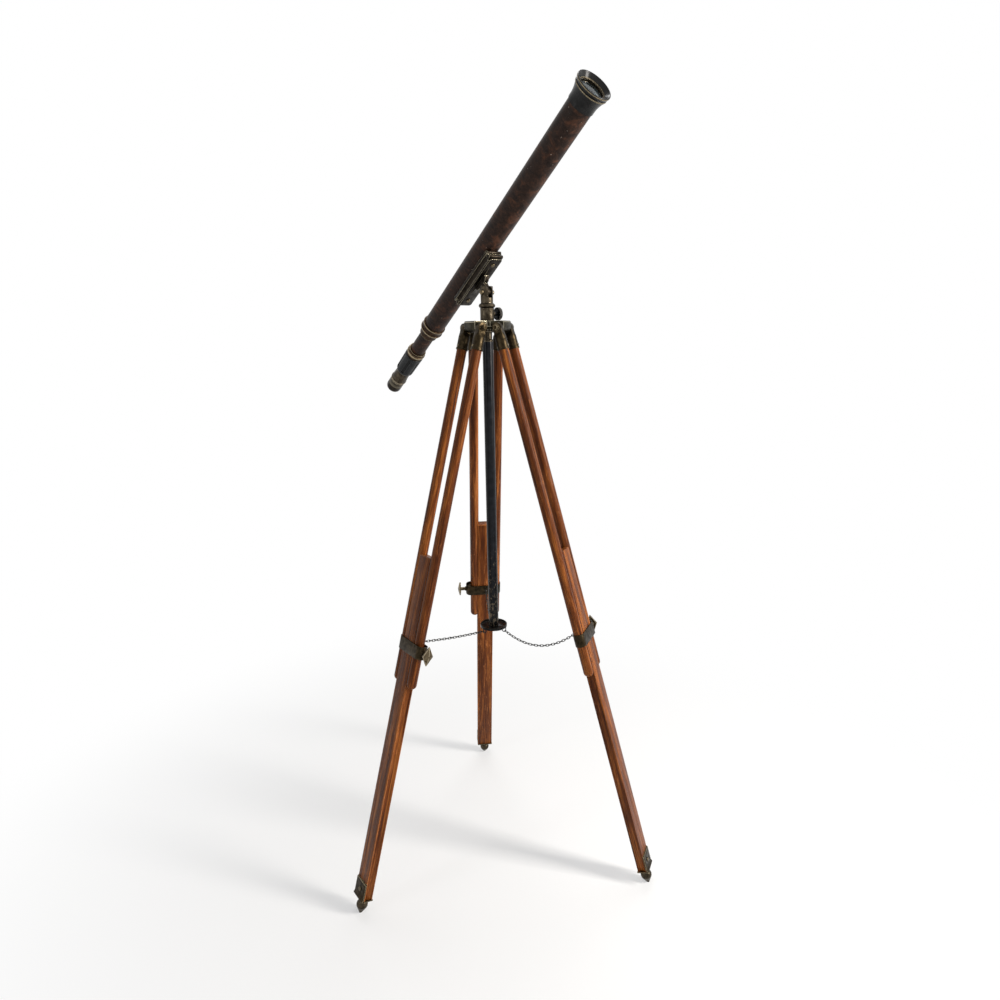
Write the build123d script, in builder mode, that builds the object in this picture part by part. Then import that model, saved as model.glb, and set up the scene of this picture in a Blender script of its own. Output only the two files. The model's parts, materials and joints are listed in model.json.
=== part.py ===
from build123d import *

import os
from math import atan2, ceil, cos, degrees, hypot, radians, sin

# Refracting telescope with a leather-finished tube, on a folding wooden floor tripod.
# Millimetres, +Z up.  The telescope aims along +X; the origin is on the floor,
# under the middle of the whole outline.

# ---------------------------------------------------------------- driving sizes

# Stance of the tripod
hinge_height = 1500.0        # leg hinge bolts above the floor
hinge_radius = 43.0          # leg hinge bolts from the post's axis
foot_radius = 454.0          # foot tips from the post's axis
first_leg_angle = 28.4       # seen from above, from the aiming direction
leg_count = 3

# Clearances
running_fit = 0.05           # radial, shaft in hole
side_gap = 0.3               # between faces that pass each other
sliding_gap = 0.3            # lower leg in the dowels' flutes

# Tripod head
plate_top = 16.5             # top of the head above the hinge bolts
plate_floor = 3.0            # underside of the head's web above the hinge bolts
arm_width = 47.4             # across one arm, along its hinge bolt
barrel_radius = 12.0         # cast round the hinge bolt
head_disc_radius = 30.0
head_boss_radius = 14.0
head_boss_drop = 8.0         # boss under the web, that the post hangs from

# Column: socket on the head, turning fork in it
socket_radius = 17.4
socket_height = 31.5
stem_radius = 11.0
stem_length = 45.0
bead_radius = 20.8
bead_height = 11.5
fork_radius = 15.5
fork_slot_floor = 13.5       # floor of the fork's slot under the tilt bolt
pivot_over_bead = 26.0       # tilt bolt above the bead
tilt_bolt_radius = 4.0
tilt_head_radius = 6.5
tilt_head_height = 5.0
spot_face_radius = 7.0
spot_face_depth = 1.6
tongue_width = 12.0
tongue_eye_radius = 11.0

# Pan knob, half-way between two legs
knob_radius = 16.0
knob_height = 8.0
knob_rise = 17.5             # its axis above the head
knob_neck = 9.0              # from the socket's boss to the disc
knob_neck_radius = 5.0
knob_screw_radius = 3.0
knob_flutes = 28
knob_boss_radius = 7.0
knob_boss_length = 3.0

# Centre post and the hub that the chains hang from
post_radius = 13.5
post_wall = 1.5
post_ferrule_radius = 11.5
post_ferrule_length = 29.0
post_plug_length = 20.0
post_length = 773.0
hub_radius = 37.0
hub_thickness = 3.0
hub_rim_height = 7.0
hub_rim_wall = 2.5
hub_plug_length = 20.0
hub_screw_radius = 4.0
staple_radius = 5.4          # of the bend, to the wire's middle
staple_wire_radius = 1.2
staple_drop = 7.0
staple_at_radius = 31.0

# Legs, along the leg from the hinge bolt down
dowel_radius = 13.0
dowel_spread = 66.0          # between the two dowels' axes
dowel_start = 24.0
dowel_end = 925.0
hinge_bolt_radius = 4.0
bolt_head_radius = 6.5
bolt_head_height = 8.0
washer_radius = 8.5
washer_thickness = 1.5
ear_width = 18.0
ear_radius = 12.0
ear_shoulder = 13.0           # where the cast ear widens into the ferrule
ferrule_wall = 1.4
ferrule_length = 32.0
ferrule_bead = 0.9
pin_radius = 1.8
pin_head_radius = 2.8
pin_head_height = 1.4
pin_at = 47.0

# Clamp
clamp_at = 823.0
clamp_height = 33.0
band_wall = 2.0
band_clearance = 0.1
clamp_nose = 12.0            # room beyond the dowel for the pressure shoe
shoe_width = 18.0
shoe_height = 22.0
shoe_tip = 8.0               # thickness over the dowel
clamp_boss_radius = 7.0
clamp_boss_length = 3.0
thumb_screw_radius = 3.0
thumb_neck_radius = 5.2
thumb_neck_length = 13.0
thumb_height = 50.0
thumb_width = 30.0
thumb_thickness = 4.5
thumb_crown = 4.5
clamp_eye_at = 813.0

# Lower leg
bar_width = 49.0
bar_thickness = 24.0
bar_start = 586.0
bar_bevel = 1.5
foot_height = 46.0           # turned foot with its flange, along the leg
flange_thickness = 3.0
flange_lip = 2.5
bracket_length = 46.0
bracket_wall = 3.0
foot_screw_radius = 3.0
foot_screw_head = 5.5
foot_screw_length = 14.0
foot_screw_at = 22.0         # above the flange
foot_ball_radius = 15.0
foot_neck_radius = 8.5
foot_tip_radius = 4.5

# Chains between the hub and the clamps
link_wire = 1.9
link_length = 12.6
link_width = 7.2
link_slack = 0.3
chain_sags = [43.0, 22.0, 4.0]   # right, rear and left leg

# Telescope, along the tube from the foot of the tilt bolt's perpendicular
elevation = 36.0
tube_offset = 85.0           # tube's axis above the tilt bolt
tube_radius = 29.0
tube_wall = 1.5
tube_front = 486.0
tube_rear = -258.0
bell_start = 467.0
bell_rim = 513.5
bell_rim_radius = 40.0
bell_lip = 1.4               # between the mouth's cone and the outside, at the rim
bell_sleeve_wall = 1.6
bell_sleeve_length = 6.0
bell_bead = 1.2
bell_bead_width = 4.5
bell_bead_pitch = 9.0        # from the rim's bead to the one behind it
bell_shoulder = 1.9          # the second bead stands this much further in
bell_sweep = 0.45            # the flare's middle point, as a share of its length
bell_swell = 0.22            # and as a share of its rise
lens_recess = 9.0            # retaining ring's face behind the rim
lens_radius = 29.5
lens_edge = 4.0
lens_bulge = 2.5
lens_land = 2.5
retainer_depth = 3.5
retainer_slot = 3.0
collar_front = -238.0
collar_rear = -282.0
collar_wall = 1.8
collar_bead = 1.6
collar_bead_width = 5.0
collar_bead_pitch = 18.0
collar_round = 5.0
collar_neck_wall = 4.5
collar_neck_length = 15.0
draw_radius = 21.0
draw_wall = 1.2
draw_inner_end = -120.0
draw_seat = 24.0             # draw tube in the grip
cell_length = 15.0
cell_gap = 0.3
ring_start = -357.0
ring_flange_radius = 26.5
ring_length = 24.0
ring_bead = 1.6
ring_bead_width = 8.0
grip_length = 77.0
grip_radius = 27.0
grip_end_radius = 25.8
grip_round = 3.2             # the grip's ends are rounded off by this
grip_channels = 6
channel_angle = 20.0
channel_depth = 1.7
channel_margin = 8.0
barrel_length = 48.0
barrel_waist_radius = 21.5
barrel_bead_radius = 24.2
barrel_bead = 1.4
barrel_bore = 17.0
eyepiece_bore = 14.0
eyecup_length = 49.0
eyecup_radius = 22.5
eyecup_round = 12.0
eye_opening_radius = 7.0
eye_lens_thickness = 5.0
eye_lens_crown = 3.0
eyecup_web = 4.0
eyecup_dish = 12.0
eyecup_groove_length = 4.0   # thin line between the barrel and the cup
eyecup_groove_depth = 1.0

# Saddle under the tube
saddle_length = 172.0
saddle_shift = -8.0          # its middle from the tilt bolt's perpendicular
saddle_depth = 46.0          # tube's axis to the strap
channel_height = 20.0
channel_foot = 4.0           # plain edge under the channel's cove
channel_flare = 5.0          # the channel's top stands out this much past the strap
saddle_end_length = 8.0
saddle_end_width = 42.0
saddle_end_bead = 8.4        # height of each of the two beads on a moulded end
strap_thickness = 5.0
strap_width = 37.0
strap_end_round = 6.0
web_root = 50.0              # where the web runs out under the strap
web_fillet = 14.0
web_taper = 3.0              # the web's drop under the strap where its fillet ends
saddle_screw_at = 66.0
saddle_screw_radius = 2.5
saddle_screw_head = 5.4
saddle_screw_length = 12.0

# ---------------------------------------------------------------- places

leg_slope = degrees(atan2(foot_radius - hinge_radius, hinge_height))
leg_length = hypot(foot_radius - hinge_radius, hinge_height)
leg_angles = [first_leg_angle + 360 / leg_count * number for number in range(leg_count)]

head_top = hinge_height + plate_top
socket_top = head_top + socket_height
bead_bottom = socket_top + side_gap
bead_top = bead_bottom + bead_height
pivot_height = bead_top + pivot_over_bead
knob_angle = first_leg_angle + 180 / leg_count
post_top = hinge_height + plate_floor - head_boss_drop - post_ferrule_length
post_bottom = post_top - post_length
staple_centre_height = post_bottom - hub_thickness - staple_drop

# The leg's own frame: origin on the hinge bolt, x outward, y along the bolt, z up the leg.
leg_plane = Plane(
    origin=(hinge_radius, 0, hinge_height),
    x_dir=(cos(radians(leg_slope)), 0, sin(radians(leg_slope))),
    z_dir=(-sin(radians(leg_slope)), 0, cos(radians(leg_slope))),
)
# The tube's own frame: x along its axis to the front, z away from the tilt bolt.
tube_plane = Plane(
    origin=(
        -tube_offset * sin(radians(elevation)),
        0,
        pivot_height + tube_offset * cos(radians(elevation)),
    ),
    x_dir=(cos(radians(elevation)), 0, sin(radians(elevation))),
    z_dir=(-sin(radians(elevation)), 0, cos(radians(elevation))),
)

pieces = {}


def keep(name, piece, place=Location()):
    """Stand a finished piece in its place on the whole telescope."""
    pieces[name] = piece.moved(place)


def around(angle):
    """The place that a piece made at angle 0 has at this angle round the post."""
    return Location((0, 0, 0), (0, 0, angle))


def rhombus(width, height):
    """A diamond in the open sketch."""
    return Polygon((0, height / 2), (width / 2, 0), (0, -height / 2), (-width / 2, 0))


def bead(start, end, rise):
    """A round bead on a turned outline, from start to end."""
    middle = (Vector(*start) + Vector(*end)) / 2
    side = Vector(*end) - Vector(*start)
    outward = Vector(0, 1) if abs(side.X) > abs(side.Y) else Vector(1, 0)
    return ThreePointArc(start, tuple(middle + outward * rise)[:2], end)


# ---------------------------------------------------------------- telescope tube

with BuildPart() as main_tube:
    with BuildSketch(Plane.YZ.offset(tube_rear)):
        Circle(tube_radius)
        Circle(tube_radius - tube_wall, mode=Mode.SUBTRACT)
    extrude(amount=tube_front - tube_rear)
keep("main_tube", main_tube.part, tube_plane.location)

sleeve_radius = tube_radius + bell_sleeve_wall
sleeve_end = bell_start + bell_sleeve_length
retainer_front = bell_rim - lens_recess
lens_front_seat = retainer_front - retainer_depth
lens_seat = lens_front_seat - lens_edge
lens_clear_radius = lens_radius - lens_land
rim_bead_radius = bell_rim_radius - bell_bead
inner_bead_front = bell_rim - bell_bead_pitch
inner_bead_rear = inner_bead_front - bell_bead_width
inner_bead_radius = rim_bead_radius - bell_shoulder
with BuildPart() as objective_bell:
    with BuildSketch(Plane.XZ):
        with BuildLine():
            Polyline(
                (sleeve_end, sleeve_radius),
                (bell_start, sleeve_radius),
                (bell_start, tube_radius),
                (tube_front, tube_radius),
                (tube_front, lens_clear_radius),
                (lens_seat, lens_clear_radius),
                (lens_seat, lens_radius),
                (retainer_front, lens_radius),
                (bell_rim, rim_bead_radius - bell_lip),
                (bell_rim, rim_bead_radius),
            )
            bead((bell_rim, rim_bead_radius), (bell_rim - bell_bead_width, rim_bead_radius), bell_bead)
            Line((bell_rim - bell_bead_width, rim_bead_radius), (inner_bead_front, inner_bead_radius))
            bead((inner_bead_front, inner_bead_radius), (inner_bead_rear, inner_bead_radius), bell_bead)
            Spline(
                (inner_bead_rear, inner_bead_radius),
                (
                    sleeve_end + bell_sweep * (inner_bead_rear - sleeve_end),
                    sleeve_radius + bell_swell * (inner_bead_radius - sleeve_radius),
                ),
                (sleeve_end, sleeve_radius),
                tangents=[(-1, -0.5), (-1, 0)],
            )
        make_face()
    revolve(axis=Axis.X)
keep("objective_bell", objective_bell.part, tube_plane.location)

with BuildPart() as objective_lens:
    with BuildSketch(Plane.XZ):
        with BuildLine():
            TangentArc(
                (lens_seat - lens_bulge, 0),
                (lens_seat, lens_clear_radius),
                tangent=(0, 1),
            )
            Polyline(
                (lens_seat, lens_clear_radius),
                (lens_seat, lens_radius),
                (lens_front_seat, lens_radius),
                (lens_front_seat, lens_clear_radius),
            )
            TangentArc(
                (lens_front_seat + lens_bulge, 0),
                (lens_front_seat, lens_clear_radius),
                tangent=(0, 1),
            )
            Line((lens_seat - lens_bulge, 0), (lens_front_seat + lens_bulge, 0))
        make_face()
    revolve(axis=Axis.X)
keep("objective_lens", objective_lens.part, tube_plane.location)

with BuildPart() as lens_retaining_ring:
    with BuildSketch(Plane.YZ.offset(lens_front_seat)):
        Circle(lens_radius)
        Circle(lens_clear_radius, mode=Mode.SUBTRACT)
    extrude(amount=retainer_depth)
    with BuildSketch(Plane.YZ.offset(retainer_front)):
        Rectangle(2 * tube_radius, retainer_slot)
    extrude(amount=-retainer_depth / 2, mode=Mode.SUBTRACT)
keep("lens_retaining_ring", lens_retaining_ring.part, tube_plane.location)

collar_radius = tube_radius + collar_wall
neck_radius = draw_radius + collar_neck_wall
neck_start = collar_rear + collar_neck_length
front_bead_rear = collar_front - collar_bead_width
rear_bead_front = collar_front - collar_bead_pitch
rear_bead_rear = rear_bead_front - collar_bead_width
with BuildPart() as tube_end_collar:
    with BuildSketch(Plane.XZ):
        with BuildLine():
            Polyline(
                (collar_front, collar_radius),
                (collar_front, tube_radius),
                (tube_rear, tube_radius),
                (tube_rear, draw_radius + running_fit),
                (collar_rear, draw_radius + running_fit),
                (collar_rear, neck_radius),
                (neck_start, neck_radius),
                (neck_start, collar_radius - collar_round),
            )
            RadiusArc(
                (neck_start, collar_radius - collar_round),
                (neck_start + collar_round, collar_radius),
                collar_round,
            )
            Line((neck_start + collar_round, collar_radius), (rear_bead_rear, collar_radius))
            bead((rear_bead_rear, collar_radius), (rear_bead_front, collar_radius), collar_bead)
            Line((rear_bead_front, collar_radius), (front_bead_rear, collar_radius))
            bead((front_bead_rear, collar_radius), (collar_front, collar_radius), collar_bead)
        make_face()
    revolve(axis=Axis.X)
keep("tube_end_collar", tube_end_collar.part, tube_plane.location)

# ---------------------------------------------------------------- draw tube and eyepiece

ring_end = ring_start - ring_length
draw_outer_end = ring_end - draw_seat
with BuildPart() as draw_tube:
    with BuildSketch(Plane.YZ.offset(draw_outer_end)):
        Circle(draw_radius)
        Circle(draw_radius - draw_wall, mode=Mode.SUBTRACT)
    extrude(amount=draw_inner_end - draw_outer_end)
keep("draw_tube", draw_tube.part, tube_plane.location)

with BuildPart() as erector_cell:
    with BuildSketch(Plane.YZ.offset(draw_inner_end)):
        Circle(tube_radius - tube_wall - cell_gap)
        Circle(draw_radius, mode=Mode.SUBTRACT)
    extrude(amount=-cell_length)
    chamfer(erector_cell.edges().filter_by(GeomType.CIRCLE).group_by(SortBy.RADIUS)[-1], 1)
keep("erector_cell", erector_cell.part, tube_plane.location)

ring_band = (ring_length - ring_bead_width) / 2
ring_bead_start = ring_start - ring_band
ring_bead_end = ring_bead_start - ring_bead_width
ring_bead_foot = ring_flange_radius - ring_bead / 2
with BuildPart() as draw_ring:
    with BuildSketch(Plane.XZ):
        with BuildLine():
            Polyline(
                (ring_bead_start, ring_bead_foot),
                (ring_bead_start, ring_flange_radius - ring_bead),
                (ring_start, ring_flange_radius - ring_bead),
                (ring_start, draw_radius),
                (ring_end, draw_radius),
                (ring_end, ring_flange_radius - ring_bead),
                (ring_bead_end, ring_flange_radius - ring_bead),
                (ring_bead_end, ring_bead_foot),
            )
            bead((ring_bead_end, ring_bead_foot), (ring_bead_start, ring_bead_foot), ring_bead)
        make_face()
    revolve(axis=Axis.X)
keep("draw_ring", draw_ring.part, tube_plane.location)

grip_end = ring_end - grip_length
# The tool that sinks one channel into the grip
with BuildPart() as grip_channel:
    with BuildSketch(Plane.XZ):
        with BuildLine():
            Polyline(
                (grip_end + channel_margin, grip_end_radius - channel_depth),
                (ring_end - channel_margin, grip_radius - channel_depth),
                (ring_end - channel_margin, grip_radius + channel_depth),
                (grip_end + channel_margin, grip_end_radius + channel_depth),
                close=True,
            )
        make_face()
    revolve(axis=Axis.X, revolution_arc=channel_angle)

with BuildPart() as focus_grip:
    with BuildSketch(Plane.XZ):
        with BuildLine():
            Polyline(
                (ring_end, grip_radius - grip_round / 2),
                (ring_end, draw_radius),
                (draw_outer_end, draw_radius),
                (draw_outer_end, draw_radius - draw_wall),
                (grip_end, draw_radius - draw_wall),
                (grip_end, grip_end_radius - grip_round),
            )
            TangentArc(
                (grip_end + grip_round, grip_end_radius),
                (grip_end, grip_end_radius - grip_round),
                tangent=(-1, 0),
            )
            Line((grip_end + grip_round, grip_end_radius), (ring_end - grip_round / 2, grip_radius))
            TangentArc(
                (ring_end - grip_round / 2, grip_radius),
                (ring_end, grip_radius - grip_round / 2),
                tangent=(1, 0),
            )
        make_face()
    revolve(axis=Axis.X)
    for number in range(grip_channels):
        add(grip_channel.part.rotate(Axis.X, 360 / grip_channels * number), mode=Mode.SUBTRACT)
keep("focus_grip", focus_grip.part, tube_plane.location)

barrel_end = grip_end - barrel_length
barrel_bead_foot = barrel_bead_radius - barrel_bead
barrel_bead_start = barrel_end + 4 * barrel_bead
with BuildPart() as eyepiece_barrel:
    with BuildSketch(Plane.XZ):
        with BuildLine():
            Polyline(
                (barrel_end, barrel_bead_foot),
                (barrel_end, barrel_bore),
                (grip_end, barrel_bore),
                (grip_end, barrel_waist_radius),
                (grip_end - barrel_length / 3, barrel_waist_radius),
            )
            Spline(
                (grip_end - barrel_length / 3, barrel_waist_radius),
                (barrel_bead_start, barrel_bead_foot),
                tangents=[(-1, 0), (-1, 0)],
            )
            bead((barrel_bead_start, barrel_bead_foot), (barrel_end, barrel_bead_foot), barrel_bead)
        make_face()
    revolve(axis=Axis.X)
keep("eyepiece_barrel", eyepiece_barrel.part, tube_plane.location)

eyecup_end = barrel_end - eyecup_length
eyecup_web_face = eyecup_end + eyecup_dish + eyecup_web
eyecup_groove = barrel_end - eyecup_groove_length
eyecup_groove_radius = eyecup_radius - eyecup_groove_depth
with BuildPart() as eyecup:
    with BuildSketch(Plane.XZ):
        with BuildLine():
            Polyline(
                (eyecup_end + eyecup_round, eyecup_radius),
                (eyecup_groove, eyecup_radius),
                (eyecup_groove, eyecup_groove_radius),
                (barrel_end, eyecup_groove_radius),
                (barrel_end, eyepiece_bore),
                (eyecup_web_face, eyepiece_bore),
                (eyecup_web_face, eye_opening_radius),
                (eyecup_end + eyecup_dish, eye_opening_radius),
                (eyecup_end, eyepiece_bore),
                (eyecup_end, eyecup_radius - eyecup_round / 2),
            )
            TangentArc(
                (eyecup_end + eyecup_round, eyecup_radius),
                (eyecup_end, eyecup_radius - eyecup_round / 2),
                tangent=(-1, 0),
            )
        make_face()
    revolve(axis=Axis.X)
keep("eyecup", eyecup.part, tube_plane.location)

eye_lens_rim = eyecup_web_face + eye_lens_thickness - eye_lens_crown
with BuildPart() as eye_lens:
    with BuildSketch(Plane.XZ):
        with BuildLine():
            Polyline(
                (eyecup_web_face + eye_lens_thickness, 0),
                (eyecup_web_face, 0),
                (eyecup_web_face, eyepiece_bore),
                (eye_lens_rim, eyepiece_bore),
            )
            TangentArc(
                (eyecup_web_face + eye_lens_thickness, 0),
                (eye_lens_rim, eyepiece_bore),
                tangent=(0, 1),
            )
        make_face()
    revolve(axis=Axis.X)
keep("eye_lens", eye_lens.part, tube_plane.location)

# ---------------------------------------------------------------- saddle

saddle_place = tube_plane.location * Location((saddle_shift, 0, 0))
saddle_half = saddle_length / 2
strap_half = strap_width / 2
channel_top = channel_height - saddle_depth
cove_foot = channel_foot - saddle_depth
cove_inset = channel_foot / 2
cove_radius = (channel_height - channel_foot) / 2
with BuildPart() as saddle_channel:
    with BuildSketch(Plane.YZ.offset(-saddle_half)):
        with BuildLine():
            Polyline(
                (0, channel_top),
                (0, -saddle_depth),
                (strap_half, -saddle_depth),
                (strap_half, cove_foot),
                (strap_half - cove_inset, cove_foot),
            )
            RadiusArc(
                (strap_half - cove_inset, cove_foot),
                (strap_half + channel_flare, cove_foot + cove_radius),
                cove_radius,
            )
            Polyline(
                (strap_half + channel_flare, cove_foot + cove_radius),
                (strap_half + channel_flare, channel_top),
                (0, channel_top),
            )
        make_face()
        mirror(about=Plane.YZ)
    extrude(amount=saddle_length)
    # Each end is moulded: a bead under the tube, a groove and a bead on the strap
    for end, inner, crown in (
        (saddle_half, saddle_half - saddle_end_length, saddle_half + saddle_end_bead / 2),
        (-saddle_half, saddle_end_length - saddle_half, -saddle_half - saddle_end_bead / 2),
    ):
        with BuildSketch(Plane.XZ):
            with BuildLine():
                Polyline(
                    (end, -saddle_depth),
                    (inner, -saddle_depth),
                    (inner, channel_top),
                    (end, channel_top),
                )
                ThreePointArc(
                    (end, channel_top),
                    (crown, channel_top - saddle_end_bead / 2),
                    (end, channel_top - saddle_end_bead),
                )
                Line((end, channel_top - saddle_end_bead), (end, saddle_end_bead - saddle_depth))
                ThreePointArc(
                    (end, saddle_end_bead - saddle_depth),
                    (crown, saddle_end_bead / 2 - saddle_depth),
                    (end, -saddle_depth),
                )
            make_face()
        extrude(amount=saddle_end_width / 2, both=True)
    with BuildSketch(Plane.YZ.offset(-saddle_length)):
        Circle(tube_radius)
    extrude(amount=2 * saddle_length, mode=Mode.SUBTRACT)
    with Locations((saddle_screw_at, 0, -saddle_depth), (-saddle_screw_at, 0, -saddle_depth)):
        Cylinder(saddle_screw_radius, 2 * (saddle_screw_length - strap_thickness), mode=Mode.SUBTRACT)
keep("saddle_channel", saddle_channel.part, saddle_place)

strap_face = -saddle_depth - strap_thickness
web_neck = tongue_eye_radius
with BuildPart() as saddle_strap:
    with BuildSketch(Plane.XY.offset(-saddle_depth)):
        with Locations((saddle_shift, 0)):
            RectangleRounded(saddle_length, strap_width, strap_end_round)
    extrude(amount=-strap_thickness)
    with BuildSketch(Plane.XZ):
        with BuildLine():
            Polyline(
                (web_neck, strap_face - web_fillet),
                (web_neck, -tube_offset),
                (0, -tube_offset),
                (0, -saddle_depth),
                (web_root, -saddle_depth),
                (web_root, strap_face),
                (web_neck + web_fillet, strap_face - web_taper),
            )
            RadiusArc(
                (web_neck, strap_face - web_fillet),
                (web_neck + web_fillet, strap_face - web_taper),
                -web_fillet,
            )
        make_face()
        mirror(about=Plane.YZ)
    extrude(amount=tongue_width / 2, both=True)
    with BuildSketch(Plane.XZ):
        with Locations((0, -tube_offset)):
            Circle(tongue_eye_radius)
    extrude(amount=tongue_width / 2, both=True)
    with BuildSketch(Plane.XZ):
        with Locations((0, -tube_offset)):
            Circle(tilt_bolt_radius + running_fit)
    extrude(amount=tongue_width, both=True, mode=Mode.SUBTRACT)
    with Locations(
        (saddle_shift + saddle_screw_at, 0, -saddle_depth),
        (saddle_shift - saddle_screw_at, 0, -saddle_depth),
    ):
        Cylinder(saddle_screw_radius, 3 * strap_thickness, mode=Mode.SUBTRACT)
keep("saddle_strap", saddle_strap.part, tube_plane.location)

with BuildPart() as saddle_screws:
    for side in (saddle_screw_at, -saddle_screw_at):
        with Locations((side, 0, -saddle_depth - strap_thickness)):
            Cylinder(
                saddle_screw_radius,
                saddle_screw_length,
                align=(Align.CENTER, Align.CENTER, Align.MIN),
            )
            Cylinder(
                saddle_screw_head,
                saddle_screw_head / 2,
                align=(Align.CENTER, Align.CENTER, Align.MAX),
            )
    fillet(saddle_screws.edges().group_by(Axis.Z)[0], saddle_screw_head / 3)
keep("saddle_screws", saddle_screws.part, saddle_place)

# ---------------------------------------------------------------- turning fork

with BuildPart() as fork_yoke:
    with BuildSketch(Plane.XZ):
        with BuildLine():
            Polyline(
                (0, pivot_height + fork_radius),
                (0, bead_bottom - stem_length),
                (stem_radius, bead_bottom - stem_length),
                (stem_radius, bead_bottom),
                (socket_radius, bead_bottom),
            )
            Spline(
                (socket_radius, bead_bottom),
                (bead_radius, bead_bottom + bead_height / 2),
                (fork_radius, bead_top),
                tangents=[(1, 0.6), (-1, 0.6)],
            )
            Polyline(
                (fork_radius, bead_top),
                (fork_radius, pivot_height + fork_radius),
                (0, pivot_height + fork_radius),
            )
        make_face()
    revolve(axis=Axis.Z)
    with BuildSketch(Plane.XZ):
        with Locations((0, pivot_height)):
            Circle(fork_radius)
        with Locations((0, pivot_height)):
            Rectangle(
                2 * bead_radius + 2,
                pivot_height - bead_bottom + stem_length,
                align=(Align.CENTER, Align.MAX),
            )
    extrude(amount=2 * bead_radius, both=True, mode=Mode.INTERSECT)
    with Locations((0, 0, pivot_height - fork_slot_floor)):
        Box(
            4 * fork_radius,
            tongue_width + 2 * side_gap,
            4 * fork_radius,
            align=(Align.CENTER, Align.CENTER, Align.MIN),
            mode=Mode.SUBTRACT,
        )
    with BuildSketch(Plane.XZ):
        with Locations((0, pivot_height)):
            Circle(tilt_bolt_radius)
    extrude(amount=2 * fork_radius, both=True, mode=Mode.SUBTRACT)
    for face_plane in (
        Plane.XZ.offset(fork_radius - spot_face_depth),
        Plane.XZ.offset(spot_face_depth - fork_radius),
    ):
        with BuildSketch(face_plane):
            with Locations((0, pivot_height)):
                Circle(spot_face_radius)
        outward = fork_radius if face_plane.origin.Y < 0 else -fork_radius
        extrude(amount=outward, mode=Mode.SUBTRACT)
keep("fork_yoke", fork_yoke.part)

spot_face = fork_radius - spot_face_depth
with BuildPart() as tilt_bolt:
    with BuildSketch(Plane.XZ.offset(spot_face + tilt_head_height)):
        with Locations((0, pivot_height)):
            Circle(tilt_head_radius)
    extrude(amount=-tilt_head_height)
    fillet(tilt_bolt.edges().group_by(Axis.Y)[0], tilt_head_height / 2)
    with BuildSketch(Plane.XZ.offset(spot_face)):
        with Locations((0, pivot_height)):
            Circle(tilt_bolt_radius)
    extrude(amount=-2 * spot_face - tilt_head_height - 3)
    chamfer(tilt_bolt.edges().group_by(Axis.Y)[-1], 1)
keep("tilt_bolt", tilt_bolt.part)

with BuildPart() as tilt_nut:
    with BuildSketch(Plane.XZ.offset(-spot_face)):
        with Locations((0, pivot_height)):
            RegularPolygon(tilt_head_radius, 6)
            Circle(tilt_bolt_radius, mode=Mode.SUBTRACT)
    extrude(amount=-tilt_head_height)
keep("tilt_nut", tilt_nut.part)

# ---------------------------------------------------------------- tripod head

knob_plane = Plane(
    origin=(0, 0, head_top + knob_rise),
    x_dir=(0, 0, 1),
    z_dir=(cos(radians(knob_angle)), sin(radians(knob_angle)), 0),
)
with BuildPart() as column_socket:
    with BuildSketch(Plane.XY.offset(head_top)):
        Circle(socket_radius)
    extrude(amount=socket_height)
    with BuildSketch(knob_plane):
        Circle(knob_boss_radius)
    extrude(amount=socket_radius + knob_boss_length)
    with BuildSketch(Plane.XY.offset(head_top)):
        Circle(stem_radius + running_fit)
    extrude(amount=socket_height, mode=Mode.SUBTRACT)
    with BuildSketch(knob_plane):
        Circle(knob_screw_radius + running_fit)
    extrude(amount=2 * socket_radius, mode=Mode.SUBTRACT)
    top_rims = column_socket.edges().filter_by(GeomType.CIRCLE).group_by(Axis.Z)[-1]
    chamfer(top_rims.sort_by(SortBy.RADIUS)[-1], 0.8)
keep("column_socket", column_socket.part)

knob_start = socket_radius + knob_boss_length + side_gap
with BuildPart() as pan_knob:
    with BuildSketch(knob_plane.offset(stem_radius + side_gap)):
        Circle(knob_screw_radius)
    extrude(amount=knob_start - stem_radius)
    with BuildSketch(knob_plane.offset(knob_start)):
        Circle(knob_neck_radius)
    extrude(amount=knob_neck)
    with BuildSketch(knob_plane.offset(knob_start + knob_neck)):
        Circle(knob_radius)
        with PolarLocations(knob_radius + 0.4, knob_flutes):
            Circle(1.2, mode=Mode.SUBTRACT)
    extrude(amount=knob_height)
    with BuildSketch(knob_plane.offset(knob_start + knob_neck + knob_height)):
        Circle(knob_radius * 0.7)
    extrude(amount=-1, mode=Mode.SUBTRACT)
keep("pan_knob", pan_knob.part)

with BuildPart() as head_plate:
    with BuildSketch(Plane.XZ):
        with BuildLine():
            Polyline(
                (hinge_radius, hinge_height - barrel_radius),
                (hinge_radius - 14, hinge_height + plate_floor),
                (0, hinge_height + plate_floor),
                (0, head_top),
                (hinge_radius + barrel_radius - 3, head_top),
                (hinge_radius + barrel_radius, head_top - 3),
                (hinge_radius + barrel_radius, hinge_height),
            )
            RadiusArc(
                (hinge_radius + barrel_radius, hinge_height),
                (hinge_radius, hinge_height - barrel_radius),
                barrel_radius,
            )
        make_face()
    extrude(amount=arm_width / 2, both=True)
    with BuildSketch(Plane.XZ):
        with Locations((hinge_radius, hinge_height)):
            Circle(hinge_bolt_radius + running_fit)
    extrude(amount=arm_width, both=True, mode=Mode.SUBTRACT)
    arm = head_plate.part
    for angle in leg_angles[1:]:
        add(arm.rotate(Axis.Z, angle - first_leg_angle))
    with BuildSketch(Plane.XY.offset(hinge_height + plate_floor)):
        Circle(head_disc_radius)
    extrude(amount=plate_top - plate_floor)
    with BuildSketch(Plane.XY.offset(hinge_height + plate_floor)):
        Circle(head_boss_radius)
    extrude(amount=-head_boss_drop)
    with BuildSketch(Plane.XY.offset(head_top)):
        Circle(stem_radius + running_fit)
    extrude(amount=-plate_top, mode=Mode.SUBTRACT)
keep("head_plate", head_plate.part, around(first_leg_angle))

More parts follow.
